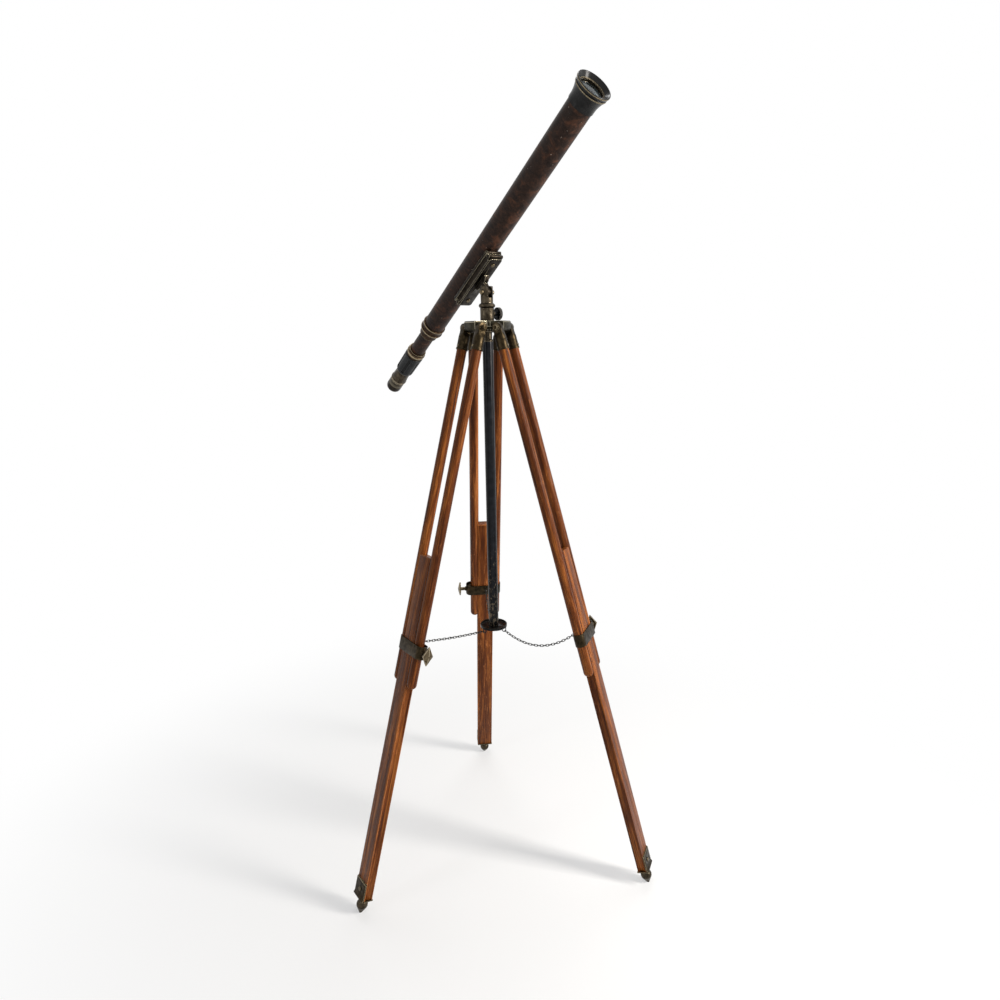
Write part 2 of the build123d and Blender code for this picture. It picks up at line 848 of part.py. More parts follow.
# ---------------------------------------------------------------- centre post and hub

ferrule_top = post_top + post_ferrule_length
with BuildPart() as post_ferrule:
    with BuildSketch(Plane.XZ):
        with BuildLine():
            Polyline(
                (post_ferrule_radius, post_top + 6),
                (post_ferrule_radius, ferrule_top - 4),
                (head_boss_radius, ferrule_top - 4),
                (head_boss_radius, ferrule_top),
                (0, ferrule_top),
                (0, post_top - post_plug_length),
                (post_radius - post_wall, post_top - post_plug_length),
                (post_radius - post_wall, post_top),
                (post_radius, post_top),
            )
            Spline(
                (post_radius, post_top),
                (post_radius + 0.6, post_top + 3),
                (post_ferrule_radius, post_top + 6),
            )
        make_face()
    revolve(axis=Axis.Z)
keep("post_ferrule", post_ferrule.part)

with BuildPart() as center_post:
    with BuildSketch(Plane.XY.offset(post_bottom)):
        Circle(post_radius)
        Circle(post_radius - post_wall, mode=Mode.SUBTRACT)
    extrude(amount=post_length)
keep("center_post", center_post.part)

# A staple of round wire under the hub, in the vertical plane of angle 0
with BuildPart() as hub_staple:
    with BuildLine(Plane.XZ) as hub_staple_wire:
        Line(
            (staple_at_radius - staple_radius, post_bottom - hub_thickness / 2),
            (staple_at_radius - staple_radius, staple_centre_height),
        )
        ThreePointArc(
            (staple_at_radius - staple_radius, staple_centre_height),
            (staple_at_radius, staple_centre_height - staple_radius),
            (staple_at_radius + staple_radius, staple_centre_height),
        )
        Line(
            (staple_at_radius + staple_radius, staple_centre_height),
            (staple_at_radius + staple_radius, post_bottom - hub_thickness / 2),
        )
    with BuildSketch(Plane.XY.offset(post_bottom - hub_thickness / 2)):
        with Locations((staple_at_radius - staple_radius, 0)):
            Circle(staple_wire_radius)
    sweep(path=hub_staple_wire.wire())

with BuildPart() as chain_hub:
    with BuildSketch(Plane.XY.offset(post_bottom - hub_thickness)):
        Circle(hub_radius)
    extrude(amount=hub_thickness)
    with BuildSketch(Plane.XY.offset(post_bottom)):
        Circle(hub_radius)
        Circle(hub_radius - hub_rim_wall, mode=Mode.SUBTRACT)
    extrude(amount=hub_rim_height - hub_thickness)
    with BuildSketch(Plane.XY.offset(post_bottom)):
        Circle(post_radius - post_wall)
    extrude(amount=hub_plug_length)
    for angle in leg_angles:
        add(hub_staple.part.rotate(Axis.Z, angle))
    with BuildSketch(Plane.XY.offset(post_bottom - hub_thickness)):
        Circle(hub_screw_radius)
    extrude(amount=hub_plug_length, mode=Mode.SUBTRACT)
keep("chain_hub", chain_hub.part)

with BuildPart() as hub_screw:
    with BuildSketch(Plane.XY.offset(post_bottom - hub_thickness)):
        Circle(hub_screw_radius)
    extrude(amount=hub_plug_length)
    with BuildSketch(Plane.XY.offset(post_bottom - hub_thickness)):
        RegularPolygon(2 * hub_screw_radius, 6)
    extrude(amount=-hub_screw_radius)
keep("hub_screw", hub_screw.part)

# ---------------------------------------------------------------- legs, in the leg's own frame

dowel_side = dowel_spread / 2
ear_start = arm_width / 2 + side_gap
ear_end = ear_start + ear_width
shank_end = ear_end + washer_thickness

with BuildPart() as leg_brackets:
    for side in (-1, 1):
        ear_middle = side * (ear_start + ear_width / 2)
        with BuildSketch(Plane.XY.offset(-dowel_start)):
            with Locations((0, side * dowel_side)):
                Circle(dowel_radius + ferrule_wall)
        with BuildSketch(Plane.XY.offset(-ear_shoulder)):
            with Locations((0, ear_middle)):
                RectangleRounded(2 * ear_radius - 2, ear_width, 2)
        loft()
        with BuildSketch(Plane.XY.offset(-ear_shoulder)):
            with Locations((0, ear_middle)):
                RectangleRounded(2 * ear_radius - 2, ear_width, 2)
        extrude(amount=ear_shoulder)
        with BuildSketch(Plane.XZ.offset(-side * ear_start)):
            Circle(ear_radius)
        extrude(amount=-side * ear_width)
        with BuildSketch(Plane.XY.offset(-dowel_start)):
            with Locations((0, side * dowel_side)):
                Circle(dowel_radius + ferrule_wall)
        extrude(amount=-ferrule_length)
        with BuildSketch(Plane.XY.offset(-dowel_start - ferrule_length)):
            with Locations((0, side * dowel_side)):
                Circle(dowel_radius + ferrule_wall + ferrule_bead)
        extrude(amount=4)
        with BuildSketch(Plane.XY.offset(-dowel_start)):
            with Locations((0, side * dowel_side)):
                Circle(dowel_radius)
        extrude(amount=-ferrule_length, mode=Mode.SUBTRACT)
        with Locations(Location((0, side * dowel_side, -pin_at), (0, 90, 0))):
            Cylinder(pin_radius, 4 * dowel_radius, mode=Mode.SUBTRACT)
    with Locations(Location((0, 0, 0), (90, 0, 0))):
        Cylinder(hinge_bolt_radius, 4 * dowel_spread, mode=Mode.SUBTRACT)

with BuildPart() as leg_dowels:
    for side in (-1, 1):
        with BuildSketch(Plane.XY.offset(-dowel_end)):
            with Locations((0, side * dowel_side)):
                Circle(dowel_radius)
        extrude(amount=dowel_end - dowel_start)
    fillet(leg_dowels.edges().group_by(Axis.Z)[0], dowel_radius * 0.8)
    for side in (-1, 1):
        with Locations(Location((0, side * dowel_side, -pin_at), (0, 90, 0))):
            Cylinder(pin_radius, 4 * dowel_radius, mode=Mode.SUBTRACT)

with BuildPart() as ferrule_pins:
    pin_half = dowel_radius + ferrule_wall
    for side in (-1, 1):
        with Locations(Location((0, side * dowel_side, -pin_at), (0, 90, 0))):
            Cylinder(pin_radius, 2 * pin_half + 1)
        with BuildSketch(Plane.YZ.offset(pin_half)):
            with Locations((side * dowel_side, -pin_at)):
                Circle(pin_head_radius)
        extrude(amount=pin_head_height)
        with BuildSketch(Plane.YZ.offset(-pin_half)):
            with Locations((side * dowel_side, -pin_at)):
                Circle(pin_head_radius)
        extrude(amount=-pin_head_height)

with BuildPart() as hinge_bolt:
    with Locations(Location((0, 0, 0), (90, 0, 0))):
        Cylinder(hinge_bolt_radius, 2 * shank_end)
    for side in (-1, 1):
        with BuildSketch(Plane.XZ.offset(-side * ear_end)):
            Circle(washer_radius)
        extrude(amount=-side * washer_thickness)
        with BuildSketch(Plane.XZ.offset(-side * shank_end)):
            RegularPolygon(bolt_head_radius, 6)
        extrude(amount=-side * bolt_head_height * 0.6)
        with BuildSketch(Plane.XZ.offset(-side * (shank_end + bolt_head_height * 0.6))):
            Circle(bolt_head_radius * 0.8)
        extrude(amount=-side * bolt_head_height * 0.4)

# The band's outline is a stadium round both dowels, longer on the screw's side.
band_inner_radius = dowel_radius + band_clearance
band_outer_radius = band_inner_radius + band_wall
nose_side = dowel_side + clamp_nose
nose_outer = nose_side + band_outer_radius
clamp_top = -clamp_at + clamp_height / 2
shoe_end = dowel_side + dowel_radius + shoe_tip
eye_inner_side = -band_inner_radius - band_wall / 2
with BuildPart() as clamp_eye:
    with BuildLine(Plane.XZ) as clamp_eye_wire:
        ThreePointArc(
            (eye_inner_side, staple_radius - clamp_eye_at),
            (eye_inner_side - staple_radius, -clamp_eye_at),
            (eye_inner_side, -staple_radius - clamp_eye_at),
        )
    with BuildSketch(Plane.YZ.offset(eye_inner_side)):
        with Locations((0, staple_radius - clamp_eye_at)):
            Circle(staple_wire_radius)
    sweep(path=clamp_eye_wire.wire())

with BuildPart() as clamp_shoe:
    with Locations((0, dowel_side, -clamp_at)):
        Box(
            shoe_width,
            dowel_radius + shoe_tip,
            shoe_height,
            align=(Align.CENTER, Align.MIN, Align.CENTER),
        )
        Cylinder(band_inner_radius, 2 * shoe_height, mode=Mode.SUBTRACT)

with BuildPart() as clamp_band:
    with BuildSketch(Plane.XY.offset(clamp_top)):
        with Locations((0, (nose_side - dowel_side) / 2)):
            SlotCenterToCenter(nose_side + dowel_side, 2 * band_outer_radius, rotation=90)
            SlotCenterToCenter(
                nose_side + dowel_side,
                2 * band_inner_radius,
                rotation=90,
                mode=Mode.SUBTRACT,
            )
    extrude(amount=-clamp_height)
    with BuildSketch(Plane.XZ.offset(-nose_outer - clamp_boss_length)):
        with Locations((0, -clamp_at)):
            Circle(clamp_boss_radius)
    extrude(amount=clamp_boss_length + band_wall)
    with BuildSketch(Plane.XZ.offset(-nose_outer - clamp_boss_length)):
        with Locations((0, -clamp_at)):
            Circle(thumb_screw_radius + running_fit)
    extrude(amount=2 * band_outer_radius, mode=Mode.SUBTRACT)
    add(clamp_eye.part)
    add(clamp_shoe.part)

thumb_start = nose_outer + clamp_boss_length + side_gap
thumb_face = thumb_start + thumb_neck_length
thumb_back = thumb_face + thumb_thickness
with BuildPart() as thumbscrew:
    with BuildSketch(Plane.XZ.offset(-shoe_end - side_gap)):
        with Locations((0, -clamp_at)):
            Circle(thumb_screw_radius)
    extrude(amount=shoe_end - thumb_start)
    with BuildSketch(Plane.XZ.offset(-thumb_start)):
        with Locations((0, -clamp_at)):
            Circle(thumb_neck_radius)
    extrude(amount=-thumb_neck_length)
    with BuildSketch(Plane.XZ.offset(-thumb_face)):
        with Locations((0, -clamp_at)):
            rhombus(thumb_width, thumb_height)
    extrude(amount=-thumb_thickness)
    for level, share in ((thumb_back, 1), (thumb_back + thumb_crown, 0.1)):
        with BuildSketch(Plane.XZ.offset(-level)):
            with Locations((0, -clamp_at)):
                rhombus(thumb_width * share, thumb_height * share)
    loft()

bar_end = leg_length - foot_height
flange_top = -bar_end
with BuildPart() as lower_bar:
    with BuildSketch(Plane.XY.offset(flange_top)):
        Rectangle(bar_thickness, bar_width)
        with Locations((0, dowel_side), (0, -dowel_side)):
            Circle(dowel_radius + sliding_gap, mode=Mode.SUBTRACT)
    extrude(amount=bar_end - bar_start)
    chamfer(lower_bar.faces().sort_by(Axis.Z)[-1].edges().filter_by(GeomType.LINE), bar_bevel)
    with Locations(Location((bar_thickness / 2, 0, flange_top + foot_screw_at), (0, 90, 0))):
        Cylinder(foot_screw_radius, 2 * foot_screw_length, mode=Mode.SUBTRACT)

with BuildPart() as foot_bracket:
    with BuildSketch(Plane.XZ):
        with BuildLine():
            Polyline(
                (bar_thickness / 2, flange_top),
                (bar_thickness / 2, flange_top + bracket_length),
                (bar_thickness / 2 + bracket_wall, flange_top + bracket_length - 2),
                (bar_thickness / 2 + bracket_wall, flange_top + 4),
                (bar_thickness / 2 + bracket_wall + flange_lip, flange_top),
                (bar_thickness / 2 + bracket_wall + flange_lip, flange_top - flange_thickness),
                (-bar_thickness / 2 - flange_lip, flange_top - flange_thickness),
                (-bar_thickness / 2 - flange_lip, flange_top),
                close=True,
            )
        make_face()
    extrude(amount=bar_width / 2 + 1, both=True)
    with Locations(Location((bar_thickness / 2, 0, flange_top + foot_screw_at), (0, 90, 0))):
        Cylinder(foot_screw_radius, 4 * bracket_wall, mode=Mode.SUBTRACT)

with BuildPart() as foot_screw:
    with Locations(Location((bar_thickness / 2, 0, flange_top + foot_screw_at), (0, 90, 0))):
        Cylinder(
            foot_screw_radius,
            foot_screw_length,
            align=(Align.CENTER, Align.CENTER, Align.MAX),
        )
        Cylinder(
            foot_screw_radius,
            bracket_wall,
            align=(Align.CENTER, Align.CENTER, Align.MIN),
        )
    with BuildSketch(Plane.YZ.offset(bar_thickness / 2 + bracket_wall)):
        with Locations((0, flange_top + foot_screw_at)):
            Circle(foot_screw_head)
    extrude(amount=foot_screw_head / 2)
    fillet(foot_screw.edges().group_by(Axis.X)[-1], foot_screw_head / 3)

foot_top = flange_top - flange_thickness
ball_middle = foot_top - 21
floor_plane = Plane(
    origin=(0, 0, -leg_length),
    x_dir=(cos(radians(leg_slope)), 0, -sin(radians(leg_slope))),
    z_dir=(sin(radians(leg_slope)), 0, cos(radians(leg_slope))),
)
with BuildPart() as foot:
    with BuildSketch(Plane.XZ):
        with BuildLine():
            Polyline(
                (foot_neck_radius, foot_top - 8),
                (foot_ball_radius, foot_top - 2),
                (foot_ball_radius, foot_top),
                (0, foot_top),
                (0, -leg_length - 5),
                (foot_tip_radius, -leg_length - 5),
                (foot_tip_radius, -leg_length),
                (foot_ball_radius - 3, ball_middle - 9),
            )
            ThreePointArc(
                (foot_ball_radius - 3, ball_middle - 9),
                (foot_ball_radius, ball_middle),
                (foot_neck_radius, ball_middle + foot_ball_radius - 3),
            )
            Line(
                (foot_neck_radius, ball_middle + foot_ball_radius - 3),
                (foot_neck_radius, foot_top - 8),
            )
        make_face()
    revolve(axis=Axis.Z)
    split(bisect_by=floor_plane, keep=Keep.TOP)

upper_leg_places = [around(angle) * leg_plane.location for angle in leg_angles]
for number, place in enumerate(upper_leg_places, start=1):
    keep(f"leg_brackets_{number}", leg_brackets.part, place)
    keep(f"leg_dowels_{number}", leg_dowels.part, place)
    keep(f"ferrule_pins_{number}", ferrule_pins.part, place)
    keep(f"hinge_bolt_{number}", hinge_bolt.part, place)
    keep(f"clamp_band_{number}", clamp_band.part, place)
    keep(f"thumbscrew_{number}", thumbscrew.part, place)
    keep(f"lower_bar_{number}", lower_bar.part, place)
    keep(f"foot_bracket_{number}", foot_bracket.part, place)
    keep(f"foot_screw_{number}", foot_screw.part, place)
    keep(f"foot_{number}", foot.part, place)

# ---------------------------------------------------------------- chains

# A link is pressed from flat wire; its own x runs along the chain.
with BuildPart() as link:
    with BuildSketch():
        SlotOverall(link_length, link_width)
        SlotOverall(link_length - 2 * link_wire, link_width - 2 * link_wire, mode=Mode.SUBTRACT)
    extrude(amount=link_wire / 2, both=True)

# Both ends ride on the round of a staple, drawn out along the chain.
hub_hook = Vector(staple_at_radius, 0, staple_centre_height)
clamp_hook = leg_plane.from_local_coords(Vector(eye_inner_side, 0, -clamp_eye_at))
staple_inside = staple_radius - staple_wire_radius
link_pitch = link_length - 2 * link_wire - link_slack


def chain(sag):
    """A chain of linked rings hanging in the vertical plane of the leg at angle 0."""
    low_point = (hub_hook + clamp_hook) / 2 - Vector(0, 0, 2 * sag)
    start = hub_hook + (low_point - hub_hook).normalized() * staple_inside
    end = clamp_hook + (low_point - clamp_hook).normalized() * staple_inside
    route = Bezier(tuple(start), tuple(low_point), tuple(end))
    link_count = 2 * ceil((route.length / link_pitch - 1) / 2) + 1
    links = []
    for number in range(link_count):
        share = (number + 0.5) / link_count
        along = route % share
        flat = Vector(-along.Z, 0, along.X)
        upright = Vector(0, 1, 0)
        link_plane = Plane(
            origin=route @ share,
            x_dir=along,
            z_dir=upright if number % 2 else flat,
        )
        links.append(link.part.moved(link_plane.location))
    return Compound(links)


for number, (angle, sag) in enumerate(zip(leg_angles, chain_sags), start=1):
    keep(f"chain_{number}", chain(sag), around(angle))

# ---------------------------------------------------------------- export

outline = Compound(list(pieces.values())).bounding_box()
origin_shift = Location((-outline.center().X, -outline.center().Y, -outline.min.Z))

os.makedirs("parts", exist_ok=True)
for name, piece in pieces.items():
    placed = piece.moved(origin_shift)
    placed.label = name
    export_step(placed, f"parts/{name}.step")
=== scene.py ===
"""A brass and leather telescope on a folding wooden tripod, dressed around its CAD frame."""

import json
from math import cos, pi, radians, sin, tau

import bmesh
import bpy
import numpy as np
from mathutils import Matrix, Vector


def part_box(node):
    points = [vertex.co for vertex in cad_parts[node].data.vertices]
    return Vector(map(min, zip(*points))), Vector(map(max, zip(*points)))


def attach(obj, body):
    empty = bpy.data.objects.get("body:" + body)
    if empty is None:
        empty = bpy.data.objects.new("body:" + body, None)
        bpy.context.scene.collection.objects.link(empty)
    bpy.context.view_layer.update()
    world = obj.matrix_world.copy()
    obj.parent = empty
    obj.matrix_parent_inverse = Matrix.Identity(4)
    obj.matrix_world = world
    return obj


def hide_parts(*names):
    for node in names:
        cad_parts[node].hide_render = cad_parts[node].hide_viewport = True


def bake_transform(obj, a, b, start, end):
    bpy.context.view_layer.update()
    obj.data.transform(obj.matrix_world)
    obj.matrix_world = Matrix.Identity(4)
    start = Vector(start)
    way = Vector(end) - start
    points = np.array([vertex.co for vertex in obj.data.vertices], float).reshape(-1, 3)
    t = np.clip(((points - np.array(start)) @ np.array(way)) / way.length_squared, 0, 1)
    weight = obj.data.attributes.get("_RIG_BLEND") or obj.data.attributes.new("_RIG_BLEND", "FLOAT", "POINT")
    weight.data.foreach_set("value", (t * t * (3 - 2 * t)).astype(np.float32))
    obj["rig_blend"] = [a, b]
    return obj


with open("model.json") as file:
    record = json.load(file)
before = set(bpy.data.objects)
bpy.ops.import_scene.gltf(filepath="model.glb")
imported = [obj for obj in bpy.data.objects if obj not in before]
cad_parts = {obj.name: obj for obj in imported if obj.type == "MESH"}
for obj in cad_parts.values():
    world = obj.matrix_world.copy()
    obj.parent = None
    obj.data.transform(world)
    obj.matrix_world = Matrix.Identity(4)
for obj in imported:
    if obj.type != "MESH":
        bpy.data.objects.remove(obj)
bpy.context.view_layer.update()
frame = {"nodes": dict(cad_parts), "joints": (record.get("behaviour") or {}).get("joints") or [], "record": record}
nodes = frame["nodes"]
joints = {joint["name"]: joint for joint in frame["joints"]}
body_of_node = {
    node: body for body, members in frame["record"]["behaviour"]["bodies"].items()
    for node in members
}

MM = 0.001
LEGS = (1, 2, 3)


# ---------------------------------------------------------------- spaces

def space(origin, x_axis, z_axis):
    """A local frame as a matrix, from local metres to the row's frame."""
    x_axis, z_axis = Vector(x_axis).normalized(), Vector(z_axis).normalized()
    y_axis = z_axis.cross(x_axis)
    matrix = Matrix((x_axis, y_axis, z_axis)).transposed().to_4x4()
    matrix.translation = Vector(origin)
    return matrix


TUBE_OFFSET = 85 * MM            # the tube's axis from the tilt bolt
tube_along = -Vector(joints["draw_slide"]["axis"])
tube_side = -Vector(joints["tilt"]["axis"])
tube_up = tube_along.cross(tube_side)
tube_space = space(
    Vector(joints["tilt"]["pos_m"]) + tube_up * TUBE_OFFSET, tube_along, tube_up
)
leg_spaces = {}
for leg in LEGS:
    hinge = joints[f"leg_hinge_{leg}"]
    up = Vector(joints[f"leg_slide_{leg}"]["axis"])
    leg_spaces[leg] = space(hinge["pos_m"], Vector(hinge["axis"]).cross(up), up)
pan = joints["pan"]["pos_m"]
post_space = space((pan[0], pan[1], 0), (1, 0, 0), (0, 0, 1))
# The grain and the wear run along local Z, so a tube piece has its own grain space.
tube_grain_space = space(tube_space.translation, -tube_up, tube_along)


# ---------------------------------------------------------------- materials

def add_node(tree, kind, inputs=None, **settings):
    new = tree.nodes.new(kind)
    for name, value in settings.items():
        setattr(new, name, value)
    for name, value in (inputs or {}).items():
        if isinstance(value, bpy.types.NodeSocket):
            tree.links.new(value, new.inputs[name])
        else:
            new.inputs[name].default_value = value
    return new


def new_material(name):
    material = bpy.data.materials.new(name)
    material.use_nodes = True
    tree = material.node_tree
    return material, tree, tree.nodes["Principled BSDF"]


def rgba(colour):
    return (*colour, 1.0)


def grain_point(tree, stretch=(1, 1, 1)):
    """Each piece carries its own coordinates, in metres, in the attribute "local"."""
    local = add_node(tree, "ShaderNodeAttribute", attribute_name="local").outputs["Vector"]
    return add_node(
        tree, "ShaderNodeMapping", {"Vector": local, "Scale": stretch}
    ).outputs["Vector"]


def noise(tree, point, scale, detail=4.0, roughness=0.55, distortion=0.0):
    return add_node(
        tree, "ShaderNodeTexNoise",
        {"Vector": point, "Scale": scale, "Detail": detail, "Roughness": roughness,
         "Distortion": distortion},
    ).outputs["Fac"]


def ramp(tree, value, stops):
    """A smooth ramp from (place, number or colour) stops."""
    new = add_node(tree, "ShaderNodeValToRGB", {"Fac": value})
    elements = new.color_ramp.elements
    while len(elements) < len(stops):
        elements.new(0.5)
    for element, (place, level) in zip(elements, stops):
        element.position = place
        element.color = rgba(level) if isinstance(level, tuple) else (level,) * 3 + (1.0,)
    return new.outputs["Color"]


def mix(tree, share, first, second):
    new = add_node(tree, "ShaderNodeMix", data_type="RGBA")
    for socket, value in ((new.inputs[0], share), (new.inputs[6], first), (new.inputs[7], second)):
        if isinstance(value, bpy.types.NodeSocket):
            tree.links.new(value, socket)
        else:
            socket.default_value = rgba(value) if isinstance(value, tuple) else value
    return new.outputs[2]


def maths(tree, operation, first, second=0.5, clamp=False):
    new = add_node(tree, "ShaderNodeMath", operation=operation, use_clamp=clamp)
    for socket, value in zip(new.inputs, (first, second)):
        if isinstance(value, bpy.types.NodeSocket):
            tree.links.new(value, socket)
        else:
            socket.default_value = value
    return new.outputs[0]


def bump(tree, shader, height, strength, distance):
    new = add_node(
        tree, "ShaderNodeBump", {"Height": height, "Strength": strength, "Distance": distance}
    )
    tree.links.new(new.outputs["Normal"], shader.inputs["Normal"])


def worn(tree, point, amount, scale=420.0):
    """Where an edge is rubbed, and where a painted highlight line is carried in it: the piece's own "wear", broken
    up by noise.
    """
    wear = add_node(tree, "ShaderNodeAttribute", attribute_name="wear").outputs["Fac"]
    patchy = ramp(tree, noise(tree, point, scale, 3.0), ((0.30, 0.35), (0.62, 1.0)))
    return maths(tree, "MULTIPLY", maths(tree, "MULTIPLY", wear, patchy), amount, clamp=True)


def metal(name, dark, middle, bright, roughness=(0.28, 0.5)):
    """Aged metal: cloudy patina, fine pitting, and rubbed bright edges. The two roughnesses are
    those of the clear and the dark patches."""
    material, tree, shader = new_material(name)
    point = grain_point(tree)
    cloud = ramp(tree, noise(tree, point, 90.0, 6.0, 0.62, 0.4), ((0.34, 0.0), (0.68, 1.0)))
    fine = noise(tree, point, 900.0, 3.0)
    patina = mix(tree, cloud, dark, middle)
    rubbed = worn(tree, point, 1.0)
    tree.links.new(mix(tree, rubbed, patina, bright), shader.inputs["Base Color"])
    dull = ramp(tree, cloud, ((0.0, roughness[1]), (1.0, roughness[0])))
    tree.links.new(mix(tree, rubbed, dull, (0.24,) * 3), shader.inputs["Roughness"])
    shader.inputs["Metallic"].default_value = 1.0
    bump(tree, shader, maths(tree, "ADD", fine, cloud), 0.18, 0.0004)
    return material


def wood(name, dark, middle, light, contrast=1.0):
    """Oiled reddish hardwood: long fine grain, darker pores, pale rubbed arrises and
    scratches."""
    material, tree, shader = new_material(name)
    broad = noise(tree, grain_point(tree, (1, 1, 0.05)), 70.0, 4.0, 0.6, 0.5)
    streak = noise(tree, grain_point(tree, (1, 1, 0.028)), 420.0, 5.0, 0.65, 0.3)
    pores = noise(tree, grain_point(tree, (1, 1, 0.02)), 1500.0, 2.0, 0.5)
    tone = maths(tree, "ADD", maths(tree, "MULTIPLY", broad, 0.55),
                 maths(tree, "MULTIPLY", streak, 0.45))
    spread = 0.13 / contrast
    colour = ramp(
        tree, tone,
        ((0.5 - spread, dark), (0.5, middle), (0.5 + spread, light)),
    )
    pore = ramp(tree, pores, ((0.34, 1.0), (0.46, 0.0)))
    colour = mix(tree, maths(tree, "MULTIPLY", pore, 0.55), colour, dark)
    stain = noise(tree, grain_point(tree, (1, 1, 0.3)), 22.0, 3.0)
    stain = ramp(tree, stain, ((0.35, 1.0), (0.65, 0.0)))
    colour = mix(tree, maths(tree, "MULTIPLY", stain, 0.30), colour, dark)
    point = grain_point(tree)
    rubbed = worn(tree, point, 0.85, 160.0)
    pale = tuple(min(1.0, channel * 1.5 + 0.04) for channel in light)
    scratch = noise(tree, grain_point(tree, (1, 1, 0.045)), 620.0, 3.0, 0.55)
    scratch = maths(
        tree, "MULTIPLY", ramp(tree, scratch, ((0.64, 0.0), (0.69, 0.8))),
        ramp(tree, noise(tree, point, 9.0, 2.0), ((0.42, 0.0), (0.6, 1.0))))
    rubbed = maths(tree, "MAXIMUM", rubbed, scratch)
    tree.links.new(mix(tree, rubbed, colour, pale), shader.inputs["Base Color"])
    dull = ramp(tree, streak, ((0.35, 0.26), (0.65, 0.42)))
    tree.links.new(dull, shader.inputs["Roughness"])
    shader.inputs["Specular IOR Level"].default_value = 0.10
    height = maths(tree, "SUBTRACT", streak, maths(tree, "MULTIPLY", pore, 0.7))
    bump(tree, shader, height, 0.35, 0.0006)
    return material


def leather(name, dark, middle, red):
    """The tube's brown covering: mottled, polished by hands, with long scuffs."""
    material, tree, shader = new_material(name)
    point = grain_point(tree)
    mottle = noise(tree, grain_point(tree, (1, 1, 0.45)), 55.0, 7.0, 0.65, 0.8)
    colour = ramp(tree, mottle, ((0.34, dark), (0.52, middle), (0.68, red)))
    scuff = noise(tree, grain_point(tree, (1, 1, 0.06)), 520.0, 4.0, 0.6)
    scuff = ramp(tree, scuff, ((0.55, 0.0), (0.72, 1.0)))
    pale = tuple(channel * 2.1 + 0.015 for channel in middle)
    colour = mix(tree, maths(tree, "MULTIPLY", scuff, 0.45), colour, pale)
    chip = maths(
        tree, "MULTIPLY",
        ramp(tree, noise(tree, grain_point(tree, (1, 1, 0.35)), 330.0, 2.0),
             ((0.735, 0.0), (0.755, 1.0))),
        ramp(tree, noise(tree, point, 14.0, 1.0), ((0.45, 0.0), (0.6, 1.0))),
    )
    colour = mix(tree, chip, colour, (0.55, 0.47, 0.40))
    tree.links.new(mix(tree, worn(tree, point, 0.8), colour, (0.34, 0.23, 0.12)),
                   shader.inputs["Base Color"])
    tree.links.new(ramp(tree, mottle, ((0.3, 0.36), (0.7, 0.52))), shader.inputs["Roughness"])
    shader.inputs["Specular IOR Level"].default_value = 0.12
    pebble = add_node(
        tree, "ShaderNodeTexVoronoi", {"Vector": point, "Scale": 900.0},
    ).outputs["Distance"]
    bump(tree, shader, maths(tree, "ADD", pebble, maths(tree, "MULTIPLY", scuff, 0.6)), 0.12,
         0.0004)
    return material


def paint(name, colour, under, roughness=0.3, chips=None):
    """Lacquer over metal, rubbed through where "wear" is above 0, and painted near black, as
    shade in a hollow, where it is below. chips gives the local heights where the chipping ends and
    where it is heaviest."""
    material, tree, shader = new_material(name)
    point = grain_point(tree)
    cloud = noise(tree, point, 60.0, 5.0)
    light = tuple(channel * 2.2 + 0.008 for channel in colour)
    base = mix(tree, ramp(tree, cloud, ((0.4, 0.0), (0.75, 1.0))), colour, light)
    # painted shade: where wear is below 0, as on the floors of the grip's sunk channels, the base goes near black
    painted_channel_shade = add_node(tree, "ShaderNodeAttribute", attribute_name="wear").outputs["Fac"]
    painted_channel_shade = maths(tree, "MULTIPLY", painted_channel_shade, -1.0, clamp=True)
    base = mix(tree, painted_channel_shade, base, (0.001, 0.001, 0.001))
    rubbed = worn(tree, point, 1.0)
    if chips:
        height = add_node(tree, "ShaderNodeSeparateXYZ", {"Vector": point}).outputs["Z"]
        heavy = add_node(
            tree, "ShaderNodeMapRange",
            {"Value": height, "From Min": chips[0], "From Max": chips[1], "To Min": 0.0,
             "To Max": 1.0},
        ).outputs["Result"]
        flake = noise(tree, grain_point(tree, (1, 1, 0.6)), 210.0, 6.0, 0.7, 0.3)
        limit = maths(tree, "SUBTRACT", 0.70, maths(tree, "MULTIPLY", heavy, 0.19))
        chip = maths(tree, "MULTIPLY", maths(tree, "SUBTRACT", flake, limit), 40.0, clamp=True)
        rubbed = maths(tree, "MAXIMUM", rubbed, chip)
    under_tone = mix(tree, noise(tree, point, 300.0), tuple(c * 0.45 for c in under), under)
    tree.links.new(mix(tree, rubbed, base, under_tone), shader.inputs["Base Color"])
    tree.links.new(mix(tree, rubbed, (roughness,) * 3, (0.5,) * 3), shader.inputs["Roughness"])
    tree.links.new(maths(tree, "MULTIPLY", rubbed, 0.8), shader.inputs["Metallic"])
    shader.inputs["Specular IOR Level"].default_value = 0.14
    bump(tree, shader, maths(tree, "SUBTRACT", cloud, rubbed), 0.25, 0.0003)
    return material


def glass(name):
    material, tree, shader = new_material(name)
    shader.inputs["Base Color"].default_value = (0.12, 0.21, 0.23, 1.0)
    shader.inputs["Roughness"].default_value = 0.02
    shader.inputs["IOR"].default_value = 1.52
    shader.inputs["Transmission Weight"].default_value = 1.0
    return material


